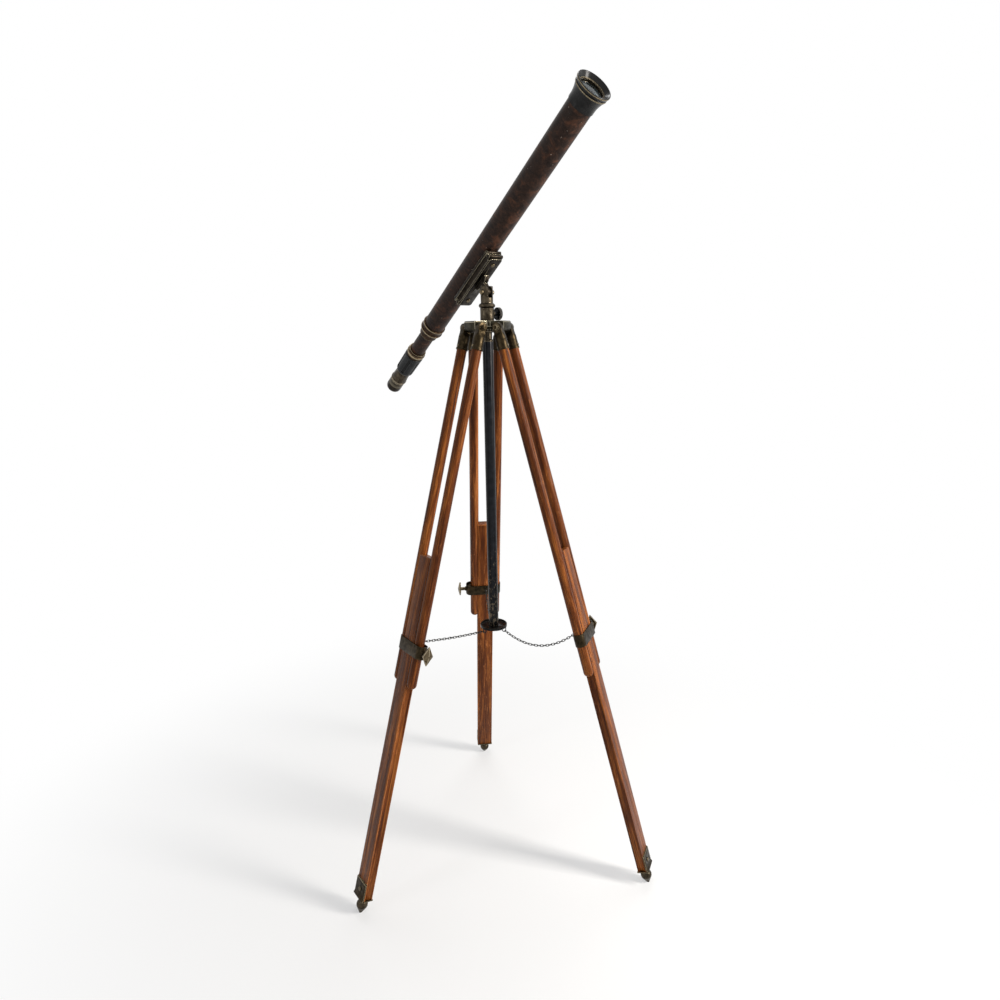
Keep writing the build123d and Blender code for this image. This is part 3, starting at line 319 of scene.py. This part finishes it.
finishes = {
    "tube_leather": leather("tube_leather", (0.009, 0.0045, 0.003), (0.029, 0.015, 0.010),
                            (0.085, 0.036, 0.020)),
    "black_lacquer": paint("black_lacquer", (0.004, 0.0035, 0.0035), (0.30, 0.21, 0.10), 0.28),
    "bell_lacquer": paint("bell_lacquer", (0.007, 0.007, 0.007), (0.38, 0.31, 0.19), 0.24),
    "grip_lacquer": paint("grip_lacquer", (0.007, 0.008, 0.009), (0.07, 0.075, 0.072), 0.25),
    "aged_brass": metal("aged_brass", (0.022, 0.017, 0.011), (0.085, 0.068, 0.046),
                        (0.66, 0.56, 0.40)),
    "collar_bronze": metal("collar_bronze", (0.014, 0.009, 0.006), (0.062, 0.036, 0.022),
                           (0.36, 0.29, 0.18), (0.32, 0.5)),
    "cradle_bronze": metal("cradle_bronze", (0.008, 0.0065, 0.005), (0.032, 0.025, 0.018),
                           (0.50, 0.44, 0.31), (0.3, 0.5)),
    "dark_bronze": metal("dark_bronze", (0.012, 0.009, 0.005), (0.048, 0.034, 0.018),
                         (0.44, 0.36, 0.23), (0.3, 0.55)),
    "bright_brass": metal("bright_brass", (0.05, 0.037, 0.020), (0.18, 0.14, 0.085),
                          (0.66, 0.56, 0.39), (0.22, 0.45)),
    "wood": wood("wood", (0.034, 0.008, 0.0025), (0.165, 0.044, 0.009), (0.48, 0.160, 0.034), 1.1),
    "black_paint": paint("black_paint", (0.0025, 0.003, 0.0045), (0.19, 0.155, 0.11), 0.3,
                         (1.05, 0.70)),
    "head_bronze": metal("head_bronze", (0.011, 0.0095, 0.006), (0.046, 0.040, 0.026),
                         (0.60, 0.54, 0.40), (0.32, 0.55)),
    "chain_steel": metal("chain_steel", (0.015, 0.015, 0.015), (0.12, 0.12, 0.115),
                         (0.8, 0.78, 0.72), (0.25, 0.45)),
    "screw_steel": metal("screw_steel", (0.16, 0.12, 0.08), (0.42, 0.33, 0.24),
                         (0.9, 0.8, 0.65), (0.25, 0.4)),
    "lens_glass": glass("lens_glass"),
}

# ---------------------------------------------------------------- making pieces

SHARP = radians(32)              # edges over this stay crisp
piece_offsets = {}


def finished(name, mesh, local_space, body, slot, stands_for=()):
    """Link a mesh, that is in the row's frame, as a piece that rides on a body."""
    piece = bpy.data.objects.new(name, mesh)
    bpy.context.scene.collection.objects.link(piece)
    inverse = local_space.inverted()
    # Pieces of one finish take different parts of its grain.
    number = piece_offsets.setdefault(slot, 0)
    piece_offsets[slot] += 1
    shift = Vector((0.37 * number, 0.23 * number, 0.0))
    local = mesh.attributes.new("local", "FLOAT_VECTOR", "POINT")
    for item, vertex in zip(local.data, mesh.vertices):
        item.vector = inverse @ vertex.co + shift
    if "wear" not in mesh.attributes:
        mesh.attributes.new("wear", "FLOAT", "POINT")
    mesh.materials.clear()
    mesh.materials.append(finishes[slot])
    mesh.polygons.foreach_set("use_smooth", [True] * len(mesh.polygons))
    mesh.set_sharp_from_angle(angle=SHARP)
    if stands_for:
        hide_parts(*stands_for)
    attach(piece, body)
    return piece


def softened(profile, radius, spread, closed):
    """Round the corners of a turned outline. Points are (along, radius) in mm, and a third
    number sets that corner's own rounding. Gives (along, radius, wear)."""
    count = len(profile)
    out = []
    for index, corner in enumerate(profile):
        here = Vector(corner[:2])
        own = corner[2] if len(corner) > 2 else radius
        if not closed and index in (0, count - 1):
            out.append((here.x, here.y, 0.0))
            continue
        before = Vector(profile[index - 1][:2]) - here
        after = Vector(profile[(index + 1) % count][:2]) - here
        turn = before.angle(after, pi)
        if own <= 0 or turn > pi - 0.12:
            out.append((here.x, here.y, 0.0))
            continue
        reach = min(own / max(0.2, sin(turn / 2)), before.length * 0.4, after.length * 0.4)
        start = here + before.normalized() * reach
        end = here + after.normalized() * reach
        margin = min(spread, before.length * 0.45 - reach)
        if margin > 0.05:
            edge = start + before.normalized() * margin
            out.append((edge.x, edge.y, 0.0))
        for step in (0.0, 0.33, 0.67, 1.0):
            point = start * (1 - step) ** 2 + here * 2 * step * (1 - step) + end * step ** 2
            out.append((point.x, point.y, 1.0))
        margin = min(spread, after.length * 0.45 - reach)
        if margin > 0.05:
            edge = end + after.normalized() * margin
            out.append((edge.x, edge.y, 0.0))
    return out


def bead(start, end, rise, steps=8):
    """Points of a round bead on a turned outline, worn on its crest: (along, radius, 0)."""
    start, end = Vector(start), Vector(end)
    middle = (start + end) / 2
    half = (end - start) / 2
    normal = Vector((-half.y, half.x)).normalized()
    if (abs(half.x) > abs(half.y) and normal.y < 0) or (
            abs(half.x) <= abs(half.y) and normal.x < 0):
        normal = -normal
    points = []
    for step in range(steps + 1):
        turn = pi * step / steps
        point = middle - half * cos(turn) + normal * rise * sin(turn)
        points.append((point.x, point.y, 0.0))
    return points


def turned(name, profile, local_space, body, slot, stands_for=(), segments=96, axis="x",
           soften=0.35, spread=0.5, closed=True, wear_from=None, shape=None):
    """A turned piece from an outline of (along, radius) points in mm. wear_from gives more wear by place,
    which on the bell and the eyecup is also a painted highlight line, and shape moves single points
    and sets their wear, which on the grip also paints shade and highlight."""
    outline = softened(profile, soften, spread, closed)
    mesh = bpy.data.meshes.new(name)
    build = bmesh.new()
    wear_layer = build.verts.layers.float.new("wear")
    rings = []
    for along, radius, wear in outline:
        if wear_from:
            wear = max(wear, wear_from(along, radius))
        ring = []
        turns = 1 if radius < 1e-6 else segments
        for number in range(turns):
            angle = tau * number / segments
            point = [along, radius * cos(angle), radius * sin(angle)]
            own_wear = wear
            if shape:
                *point, own_wear = shape(*point, angle, wear)
            if axis == "z":
                point = [point[1], point[2], point[0]]
            vertex = build.verts.new(local_space @ (Vector(point) * MM))
            vertex[wear_layer] = own_wear
            ring.append(vertex)
        rings.append(ring)
    pairs = list(zip(rings, rings[1:]))
    if closed:
        pairs.append((rings[-1], rings[0]))
    for first, second in pairs:
        if len(first) == 1 and len(second) == 1:
            continue
        for number in range(segments):
            following = (number + 1) % segments
            if len(first) == 1:
                corners = (first[0], second[number], second[following])
            elif len(second) == 1:
                corners = (first[number], second[0], first[following])
            else:
                corners = (first[number], second[number], second[following], first[following])
            build.faces.new(corners)
    bmesh.ops.recalc_face_normals(build, faces=build.faces)
    build.to_mesh(mesh)
    build.free()
    return finished(name, mesh, local_space, body, slot, stands_for)


ARRIS = radians(34)              # edges over this are arrises, which are rounded


def dressed(node, local_space, slot, width):
    """A CAD piece with its arrises rounded, to a width in mm, and marked as worn."""
    mesh = nodes[node].data.copy()
    build = bmesh.new()
    build.from_mesh(mesh)
    bmesh.ops.remove_doubles(build, verts=build.verts, dist=2e-6)
    bmesh.ops.dissolve_degenerate(build, edges=build.edges, dist=1e-6)
    bmesh.ops.dissolve_limit(
        build, angle_limit=radians(0.6), verts=build.verts, edges=build.edges
    )
    build.to_mesh(mesh)
    build.free()
    for attribute in list(mesh.attributes):
        if attribute.name in ("sharp_face", "sharp_edge", "custom_normal"):
            mesh.attributes.remove(attribute)
    mesh.materials.clear()
    mesh.materials.append(finishes[slot])
    mesh.materials.append(finishes[slot])
    helper = bpy.data.objects.new(node + "_helper", mesh)
    bpy.context.scene.collection.objects.link(helper)
    modifier = helper.modifiers.new("arrises", "BEVEL")
    modifier.width = width * MM
    modifier.segments = 2
    modifier.limit_method = "ANGLE"
    modifier.angle_limit = ARRIS
    modifier.material = 1
    modifier.miter_outer = "MITER_ARC"
    graph = bpy.context.evaluated_depsgraph_get()
    result = bpy.data.meshes.new_from_object(helper.evaluated_get(graph))
    bpy.data.objects.remove(helper)
    wear = result.attributes.new("wear", "FLOAT", "CORNER")
    for polygon in result.polygons:
        level = 1.0 if polygon.material_index == 1 else 0.0
        for corner in polygon.loop_indices:
            wear.data[corner].value = level
    result.polygons.foreach_set("material_index", [0] * len(result.polygons))
    result.name = node + "_dressed"
    return finished(result.name, result, local_space, body_of_node[node], slot, (node,))


# ---------------------------------------------------------------- telescope
# Outlines are (along the tube, radius) in mm, from the foot of the tilt bolt's perpendicular.

TUBE_REAR, TUBE_FRONT, TUBE_RADIUS, TUBE_BORE = -258, 486, 29, 27.5
turned("tube_skin",
       [(TUBE_REAR, TUBE_RADIUS), (TUBE_FRONT, TUBE_RADIUS), (TUBE_FRONT, TUBE_BORE),
        (TUBE_REAR, TUBE_BORE)],
       tube_space, "telescope", "tube_leather", ("main_tube",), soften=0.2)

BELL_START, SLEEVE_END, SLEEVE_RADIUS = 467, 473, 30.6
BELL_RIM, RIM_RADIUS = 513.5, 38.8
INNER_BEAD, INNER_RADIUS = 504.5, 36.9
BEAD_WIDTH, BEAD_RISE = 4.5, 1.2
LENS_SEAT, LENS_FRONT, RETAINER_FRONT, LENS_RADIUS, LENS_CLEAR = 497, 501, 504.5, 29.5, 27


def flare(share):
    """The bell's outside between its sleeve and its beads."""
    return (SLEEVE_END + share * (INNER_BEAD - BEAD_WIDTH - SLEEVE_END),
            SLEEVE_RADIUS + share ** 1.9 * (INNER_RADIUS - SLEEVE_RADIUS), 0)


bell = [(SLEEVE_END, SLEEVE_RADIUS, 0), (BELL_START, SLEEVE_RADIUS, 0),
        (BELL_START, TUBE_RADIUS), (TUBE_FRONT, TUBE_RADIUS), (TUBE_FRONT, LENS_CLEAR),
        (LENS_SEAT, LENS_CLEAR), (LENS_SEAT, LENS_RADIUS), (RETAINER_FRONT, LENS_RADIUS),
        (BELL_RIM, RIM_RADIUS - 1.4, 0)]
bell += bead((BELL_RIM, RIM_RADIUS), (BELL_RIM - BEAD_WIDTH, RIM_RADIUS), BEAD_RISE, 10)
bell += bead((INNER_BEAD, INNER_RADIUS), (INNER_BEAD - BEAD_WIDTH, INNER_RADIUS), BEAD_RISE, 10)
bell += [flare(share) for share in (0.95, 0.85, 0.75, 0.62, 0.48, 0.34, 0.2, 0.1)]


def bell_crest_wear_and_highlight(along, radius):
    """Brass shows through on the crests of the two beads: worn brass, which also stands as a painted highlight
    line along each crest.
    """
    rim_crest = radius > RIM_RADIUS + BEAD_RISE - 0.2
    inner_crest = along < INNER_BEAD and radius > INNER_RADIUS + BEAD_RISE - 0.2
    return 1.0 if rim_crest or inner_crest else 0.0


turned("bell", bell, tube_space, "telescope", "bell_lacquer", ("objective_bell",), segments=128,
       spread=0.8, wear_from=bell_crest_wear_and_highlight)
turned("objective",
       [(494.5, 0), (495.3, 12), (LENS_SEAT, LENS_CLEAR), (LENS_SEAT, LENS_RADIUS),
        (LENS_FRONT, LENS_RADIUS), (LENS_FRONT, LENS_CLEAR), (502.7, 12), (503.5, 0)],
       tube_space, "telescope", "lens_glass", ("objective_lens",), closed=False, soften=0)
dressed("lens_retaining_ring", tube_grain_space, "aged_brass", 0.3)

COLLAR_FRONT, COLLAR_REAR, COLLAR_RADIUS, COLLAR_BEAD = -238, -282, 30.8, 1.6
COLLAR_BORE, SHOULDER = 21.05, 5
NECK_START, NECK_RADIUS = -267, 25.5
REAR_BEAD, FRONT_BEAD = (-261, -256), (-243, COLLAR_FRONT)
collar = [(COLLAR_FRONT, TUBE_RADIUS), (TUBE_REAR, TUBE_RADIUS), (TUBE_REAR, COLLAR_BORE),
          (COLLAR_REAR, COLLAR_BORE), (COLLAR_REAR, NECK_RADIUS), (NECK_START, NECK_RADIUS)]
collar += [(NECK_START + SHOULDER - SHOULDER * cos(radians(turn)),
            COLLAR_RADIUS - SHOULDER + SHOULDER * sin(radians(turn)), 0)
           for turn in (0, 22, 45, 67, 90)]
collar += bead((REAR_BEAD[0], COLLAR_RADIUS), (REAR_BEAD[1], COLLAR_RADIUS), COLLAR_BEAD, 10)
collar += [(REAR_BEAD[1] + 1, COLLAR_RADIUS - 0.3, 0), (FRONT_BEAD[0] - 1, COLLAR_RADIUS - 0.3, 0)]
collar += bead((FRONT_BEAD[0], COLLAR_RADIUS), (FRONT_BEAD[1], COLLAR_RADIUS), COLLAR_BEAD, 10)
turned("rear_collar", collar, tube_space, "telescope", "collar_bronze", ("tube_end_collar",),
       wear_from=lambda along, radius: 1.0 if radius > COLLAR_RADIUS + 1.3 else 0.0)

dressed("saddle_channel", tube_grain_space, "cradle_bronze", 0.6)
dressed("saddle_strap", tube_grain_space, "cradle_bronze", 0.8)
dressed("saddle_screws", tube_grain_space, "bright_brass", 0.3)

# ---------------------------------------------------------------- draw tube and eyepiece

DRAW_FRONT, DRAW_REAR, DRAW_RADIUS, DRAW_BORE = -120, -405, 21, 19.8
turned("draw_skin",
       [(DRAW_REAR, DRAW_RADIUS), (DRAW_FRONT, DRAW_RADIUS), (DRAW_FRONT, DRAW_BORE),
        (DRAW_REAR, DRAW_BORE)],
       tube_space, "draw", "tube_leather", ("draw_tube",), soften=0.2)
dressed("erector_cell", tube_grain_space, "black_lacquer", 0.3)
RING_START, RING_END, RING_BAND, RING_FOOT = -357, -381, 24.9, 25.7
RING_BEAD_FRONT, RING_BEAD_REAR = -365, -373
ring = [(RING_BEAD_FRONT, RING_BAND), (RING_START, RING_BAND), (RING_START, DRAW_RADIUS),
        (RING_END, DRAW_RADIUS), (RING_END, RING_BAND), (RING_BEAD_REAR, RING_BAND)]
ring += bead((RING_BEAD_REAR, RING_FOOT), (RING_BEAD_FRONT, RING_FOOT), 1.6, 10)
turned("draw_flange", ring, tube_space, "draw", "collar_bronze", ("draw_ring",),
       wear_from=lambda along, radius: 1.0 if radius > RING_FOOT + 1.2 else 0.0)

GRIP_END, GRIP_FRONT_RADIUS, GRIP_END_RADIUS = -458, 27, 25.8
CHANNELS, CHANNEL_DEPTH, CHANNEL_MARGIN = 6, 1.7, 8
CHANNEL_MIDDLE, CHANNEL_HALF = 2 / 3, 1 / 6      # round the grip, as shares of the pitch


def grip_outside(along):
    """The grip's outside before its channels are sunk."""
    share = (along - GRIP_END) / (RING_END - GRIP_END)
    return GRIP_END_RADIUS + share * (GRIP_FRONT_RADIUS - GRIP_END_RADIUS)


def sunk_channel(along, y, z, angle, wear):
    """Sinks the channels. Their floors get wear -1, painted near black as shade, and their edges
    get wear 0.9, a painted highlight shown as rubbed-through lacquer.
    """
    radius = (y * y + z * z) ** 0.5
    to_end = min(along - GRIP_END, RING_END - along) - CHANNEL_MARGIN
    if radius < 23 or to_end < 0:
        return (along, y, z, wear)
    place = (angle * CHANNELS / tau) % 1.0
    to_side = (CHANNEL_HALF - abs(place - CHANNEL_MIDDLE)) / 0.02
    share = max(0.0, min(1.0, to_side, to_end / 0.6))
    # wear -1 on the floors is painted shade, and 0.9 along the edges is a painted highlight
    wear = -1.0 if share > 0.5 else 0.9 if to_side > -2.2 else wear
    inward = 1 - CHANNEL_DEPTH * share / radius
    return (along, y * inward, z * inward, wear)


def grip_wear(along, radius):
    return 0.35 if radius > 25 and min(along - GRIP_END, RING_END - along) < 4 else 0.0


grip = [(GRIP_END, 22.6, 0), (GRIP_END + 0.4, 23.9, 0), (GRIP_END + 1.4, 25.1, 0),
        (GRIP_END + 3.2, GRIP_END_RADIUS, 0)]
# The rings lie closer together where the channels end.
grip += [(along, grip_outside(along), 0) for along in
         (-453, -450.2, -450, -449.4, -449, -446, -440, -430, -420, -410, -400, -393, -390,
          -389.6, -389, -388.8, -386, -382.6)]
grip += [(-381.5, 26.5, 0), (RING_END, 25.4, 0), (RING_END, DRAW_RADIUS),
         (DRAW_REAR, DRAW_RADIUS), (DRAW_REAR, DRAW_BORE), (GRIP_END, DRAW_BORE)]
turned("grip", grip, tube_space, "draw", "grip_lacquer", ("focus_grip",), segments=360,
       shape=sunk_channel, wear_from=grip_wear)

BARREL_END, BARREL_WAIST, BARREL_FOOT, BARREL_BORE = -506, 21.5, 22.8, 17
barrel = [(BARREL_END, BARREL_BORE), (GRIP_END, BARREL_BORE), (GRIP_END, BARREL_WAIST, 0.3),
          (-474, BARREL_WAIST, 0), (-480, 21.65, 0), (-487, 22.1, 0), (-494, 22.6, 0),
          (-499, 22.78, 0)]
BARREL_BEAD = 1.4
barrel += bead((-500.4, BARREL_FOOT), (BARREL_END, BARREL_FOOT), BARREL_BEAD, 10)[:-1]
turned("barrel", barrel, tube_space, "draw", "aged_brass", ("eyepiece_barrel",),
       wear_from=lambda along, radius: 0.35 if radius > BARREL_FOOT + 1.1 else 0.0)

CUP_END, CUP_RADIUS, CUP_BORE, CUP_ROUND = -555, 22.5, 14, 15
CUP_GROOVE, CUP_GROOVE_RADIUS = -510, 21.5       # the thin line between barrel and cup
WEB_FRONT, WEB_REAR, EYE_OPENING = -539, -543, 7
cup = [(CUP_END + 12 - CUP_ROUND * sin(radians(turn)),
        CUP_RADIUS - CUP_ROUND + CUP_ROUND * cos(radians(turn)), 0)
       for turn in (53.13, 45, 36, 27, 18, 9, 0)]
cup += [(-530, CUP_RADIUS, 0), (-529.6, 21.9, 0), (-528.6, 21.9, 0), (-528.2, CUP_RADIUS, 0),
        (CUP_GROOVE, CUP_RADIUS, 0.4), (CUP_GROOVE, CUP_GROOVE_RADIUS),
        (BARREL_END, CUP_GROOVE_RADIUS), (BARREL_END, CUP_BORE), (WEB_FRONT, CUP_BORE),
        (WEB_FRONT, EYE_OPENING), (WEB_REAR, EYE_OPENING), (CUP_END, CUP_BORE, 0.5)]
# The lighter band beside the cup's groove (-528.3 to -527) is a painted highlight line, carried in wear.
turned("eye_shade", cup, tube_space, "draw", "cradle_bronze", ("eyecup",),
       wear_from=lambda along, radius: 0.3 if radius > 22 and -528.3 < along < -527 else 0.0)
turned("eyepiece_lens",
       [(-534, 0), (-534.8, 7), (-537, CUP_BORE), (WEB_FRONT, CUP_BORE), (WEB_FRONT, 0)],
       tube_space, "draw", "lens_glass", ("eye_lens",), closed=False, soften=0)

# ---------------------------------------------------------------- head and post

for node, slot, width in (
        ("fork_yoke", "aged_brass", 0.5), ("tilt_bolt", "bright_brass", 0.3),
        ("tilt_nut", "bright_brass", 0.3), ("column_socket", "aged_brass", 0.5),
        ("pan_knob", "black_paint", 0.35), ("head_plate", "head_bronze", 1.0),
        ("post_ferrule", "aged_brass", 0.4), ("chain_hub", "black_lacquer", 0.3),
        ("hub_screw", "screw_steel", 0.4)):
    dressed(node, post_space, slot, width)
POST_RADIUS, POST_BORE = 13.5, 12
post_low, post_high = ((Vector(corner) / MM).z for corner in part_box("center_post"))
turned("post",
       [(post_low, POST_RADIUS), (post_high, POST_RADIUS), (post_high, POST_BORE),
        (post_low, POST_BORE)],
       post_space, "tripod_head", "black_paint", ("center_post",), axis="z", soften=0.3)

# ---------------------------------------------------------------- legs

DOWEL_SIDE, DOWEL_RADIUS = 33, 13
DOWEL_TOP, DOWEL_FOOT = -24, -925       # along the leg from its hinge
for leg in LEGS:
    here = leg_spaces[leg]
    for side in (1, -1):
        rod_space = here @ Matrix.Translation((0, side * DOWEL_SIDE * MM, 0))
        rod = [(DOWEL_FOOT, 0, 0), (DOWEL_FOOT, 2.6, 0), (-924.6, 5.4, 0), (-923.2, 8.4, 0),
               (-921, 10.8, 0), (-918, 12.3, 0), (-914.6, DOWEL_RADIUS, 0),
               (DOWEL_TOP, DOWEL_RADIUS, 0.5), (DOWEL_TOP, 0, 0)]
        turned(f"dowel_{leg}_{'near' if side > 0 else 'far'}", rod, rod_space,
               f"upper_leg_{leg}", "wood", (f"leg_dowels_{leg}",), axis="z", closed=False,
               segments=64)
    for node, slot, width in (
            ("leg_brackets", "dark_bronze", 0.5), ("ferrule_pins", "bright_brass", 0.4),
            ("hinge_bolt", "dark_bronze", 0.4), ("clamp_band", "dark_bronze", 0.35),
            ("thumbscrew", "bright_brass", 0.5), ("lower_bar", "wood", 0.9),
            ("foot_bracket", "dark_bronze", 0.5), ("foot_screw", "bright_brass", 0.3),
            ("foot", "aged_brass", 0.3)):
        dressed(f"{node}_{leg}", here, slot, width)

# ---------------------------------------------------------------- chains


def ring_mesh(build, place, length=12.6, width=7.2, wire=1.9, turns=20, sides=8):
    """One link of round wire, a stadium long along x."""
    radius = (width - wire) / 2
    straight = (length - width) / 2
    rings = []
    for number in range(turns):
        angle = tau * (number + 0.5) / turns
        shift = straight if cos(angle) > 0 else -straight
        middle = Vector((shift + radius * cos(angle), radius * sin(angle), 0))
        outward = Vector((cos(angle), sin(angle), 0))
        ring = []
        for side in range(sides):
            turn = tau * side / sides
            point = middle + (outward * cos(turn) + Vector((0, 0, 1)) * sin(turn)) * wire / 2
            ring.append(build.verts.new(place @ (point * MM)))
        rings.append(ring)
    for first, second in zip(rings, rings[1:] + rings[:1]):
        for side in range(sides):
            following = (side + 1) % sides
            build.faces.new((first[side], second[side], second[following], first[following]))


def link_places(node):
    """Where each link of a CAD chain lies, from its own shape: x along it, z through it."""
    build = bmesh.new()
    build.from_mesh(nodes[node].data)
    bmesh.ops.remove_doubles(build, verts=build.verts, dist=2e-6)
    build.verts.ensure_lookup_table()
    seen, places = set(), []
    for start in build.verts:
        if start in seen:
            continue
        seen.add(start)
        island, queue = [], [start]
        while queue:
            vertex = queue.pop()
            island.append(vertex.co[:])
            for edge in vertex.link_edges:
                other = edge.other_vert(vertex)
                if other not in seen:
                    seen.add(other)
                    queue.append(other)
        points = np.array(island)
        _, axes = np.linalg.eigh(np.cov((points - points.mean(0)).T))
        places.append(space(points.mean(0), axes[:, 2], axes[:, 0]))
    build.free()
    return places


for leg in LEGS:
    mesh = bpy.data.meshes.new(f"links_{leg}")
    build = bmesh.new()
    places = link_places(f"chain_{leg}")
    for place in places:
        ring_mesh(build, place)
    bmesh.ops.recalc_face_normals(build, faces=build.faces)
    build.to_mesh(mesh)
    build.free()
    links = bpy.data.objects.new(f"links_{leg}", mesh)
    bpy.context.scene.collection.objects.link(links)
    for name, kind in (("local", "FLOAT_VECTOR"), ("wear", "FLOAT")):
        mesh.attributes.new(name, kind, "POINT")
    for item, vertex in zip(mesh.attributes["local"].data, mesh.vertices):
        item.vector = vertex.co
    mesh.materials.append(finishes["chain_steel"])
    mesh.polygons.foreach_set("use_smooth", [True] * len(mesh.polygons))
    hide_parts(f"chain_{leg}")
    ends = sorted((place.translation for place in places),
                  key=lambda point: (point.xy - Vector(pan[:2])).length)
    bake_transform(links, "tripod_head", f"upper_leg_{leg}", start=ends[0], end=ends[-1])

# ---------------------------------------------------------------- stage, light and camera


def seen_directly(tree):
    """1 for what the camera sees, straight or in a mirror or through glass, and 0 for light."""
    rays = add_node(tree, "ShaderNodeLightPath").outputs
    return maths(tree, "MAXIMUM", rays["Is Camera Ray"],
                 maths(tree, "MAXIMUM", rays["Is Glossy Ray"], rays["Is Transmission Ray"]))


FLOOR_HALF = 30.0
floor_mesh = bpy.data.meshes.new("floor")
floor_mesh.from_pydata(
    [(x * FLOOR_HALF, y * FLOOR_HALF, -0.0005) for x, y in ((-1, -1), (1, -1), (1, 1), (-1, 1))],
    [], [(0, 1, 2, 3)])
floor = bpy.data.objects.new("floor", floor_mesh)
bpy.context.scene.collection.objects.link(floor)
material, tree, shader = new_material("floor")
shader.inputs["Base Color"].default_value = (0.9, 0.9, 0.9, 1.0)
shader.inputs["Roughness"].default_value = 0.9
position = add_node(tree, "ShaderNodeNewGeometry").outputs["Position"]
distance = add_node(tree, "ShaderNodeVectorMath", {0: position}, operation="LENGTH")
far = add_node(
    tree, "ShaderNodeMapRange",
    {"Value": distance.outputs["Value"], "From Min": 0.2, "From Max": 1.7, "To Min": 0.45},
    interpolation_type="SMOOTHSTEP",
).outputs["Result"]
white = add_node(tree, "ShaderNodeEmission", {"Color": (1, 1, 1, 1), "Strength": 1.0})
share = maths(tree, "MULTIPLY", far, seen_directly(tree))
blended = add_node(
    tree, "ShaderNodeMixShader", {0: share, 1: shader.outputs[0], 2: white.outputs[0]})
tree.links.new(blended.outputs[0], tree.nodes["Material Output"].inputs["Surface"])
floor_mesh.materials.append(material)

scene = bpy.context.scene
scene.view_settings.view_transform = "Standard"
world = bpy.data.worlds.new("studio")
scene.world = world
world.use_nodes = True
tree = world.node_tree
strength = add_node(
    tree, "ShaderNodeMapRange", {"Value": seen_directly(tree), "To Min": 0.22, "To Max": 1.0}
).outputs["Result"]
background = tree.nodes["Background"]
background.inputs["Color"].default_value = (1.0, 1.0, 1.0, 1.0)
tree.links.new(strength, background.inputs["Strength"])


def lamp(name, place, aim, size, power, colour=(1, 1, 1)):
    light = bpy.data.lights.new(name, "AREA")
    light.shape = "RECTANGLE"
    light.size, light.size_y = size
    light.energy = power
    light.color = colour
    holder = bpy.data.objects.new(name, light)
    scene.collection.objects.link(holder)
    direction = Vector(aim) - Vector(place)
    holder.matrix_world = (
        Matrix.Translation(place) @ direction.to_track_quat("-Z", "Y").to_matrix().to_4x4()
    )


CAMERA_AZIMUTH = radians(52.87)          # the way the camera looks, from +Y towards -X


def from_camera(right, ahead, up):
    """A place told from the middle of the object as the camera sees it."""
    return (right * cos(CAMERA_AZIMUTH) - ahead * sin(CAMERA_AZIMUTH),
            right * sin(CAMERA_AZIMUTH) + ahead * cos(CAMERA_AZIMUTH), up)


lamp("key", from_camera(2.6, -0.9, 2.2), (0, 0, 1.0), (0.5, 2.2), 125, (1.0, 0.96, 0.91))
lamp("fill", from_camera(-2.6, -1.6, 1.6), (0, 0, 1.0), (0.5, 1.8), 10, (0.94, 0.97, 1.0))
lamp("top", from_camera(0.2, 0.9, 3.6), (0, 0, 1.2), (1.4, 1.0), 30)

CAMERA_BACK, CAMERA_HEIGHT = 1.78606, 1.47981    # metres from the post's axis and the floor
PITCH, PAN, ROLL = radians(13.478), radians(0.765), radians(-1.038)
forward = Vector((sin(PAN) * cos(PITCH), cos(PAN) * cos(PITCH), -sin(PITCH)))
right = forward.cross(Vector((0, 0, 1))).normalized()
upward = right.cross(forward)
rolled_right = right * cos(ROLL) + upward * sin(ROLL)
rolled_up = upward * cos(ROLL) - right * sin(ROLL)
turn = Matrix.Rotation(CAMERA_AZIMUTH, 3, "Z")
camera_data = bpy.data.cameras.new("camera")
camera_data.sensor_width = 36.0
camera_data.lens = 24.673
camera_data.clip_start, camera_data.clip_end = 0.05, 100.0
camera = bpy.data.objects.new("camera", camera_data)
scene.collection.objects.link(camera)
axes = Matrix((turn @ rolled_right, turn @ rolled_up, turn @ -forward)).transposed()
eye = turn @ Vector((0.0, -CAMERA_BACK, CAMERA_HEIGHT)) + Vector((pan[0], pan[1], 0.0))
camera.matrix_world = Matrix.Translation(eye) @ axes.to_4x4()
scene.camera = camera
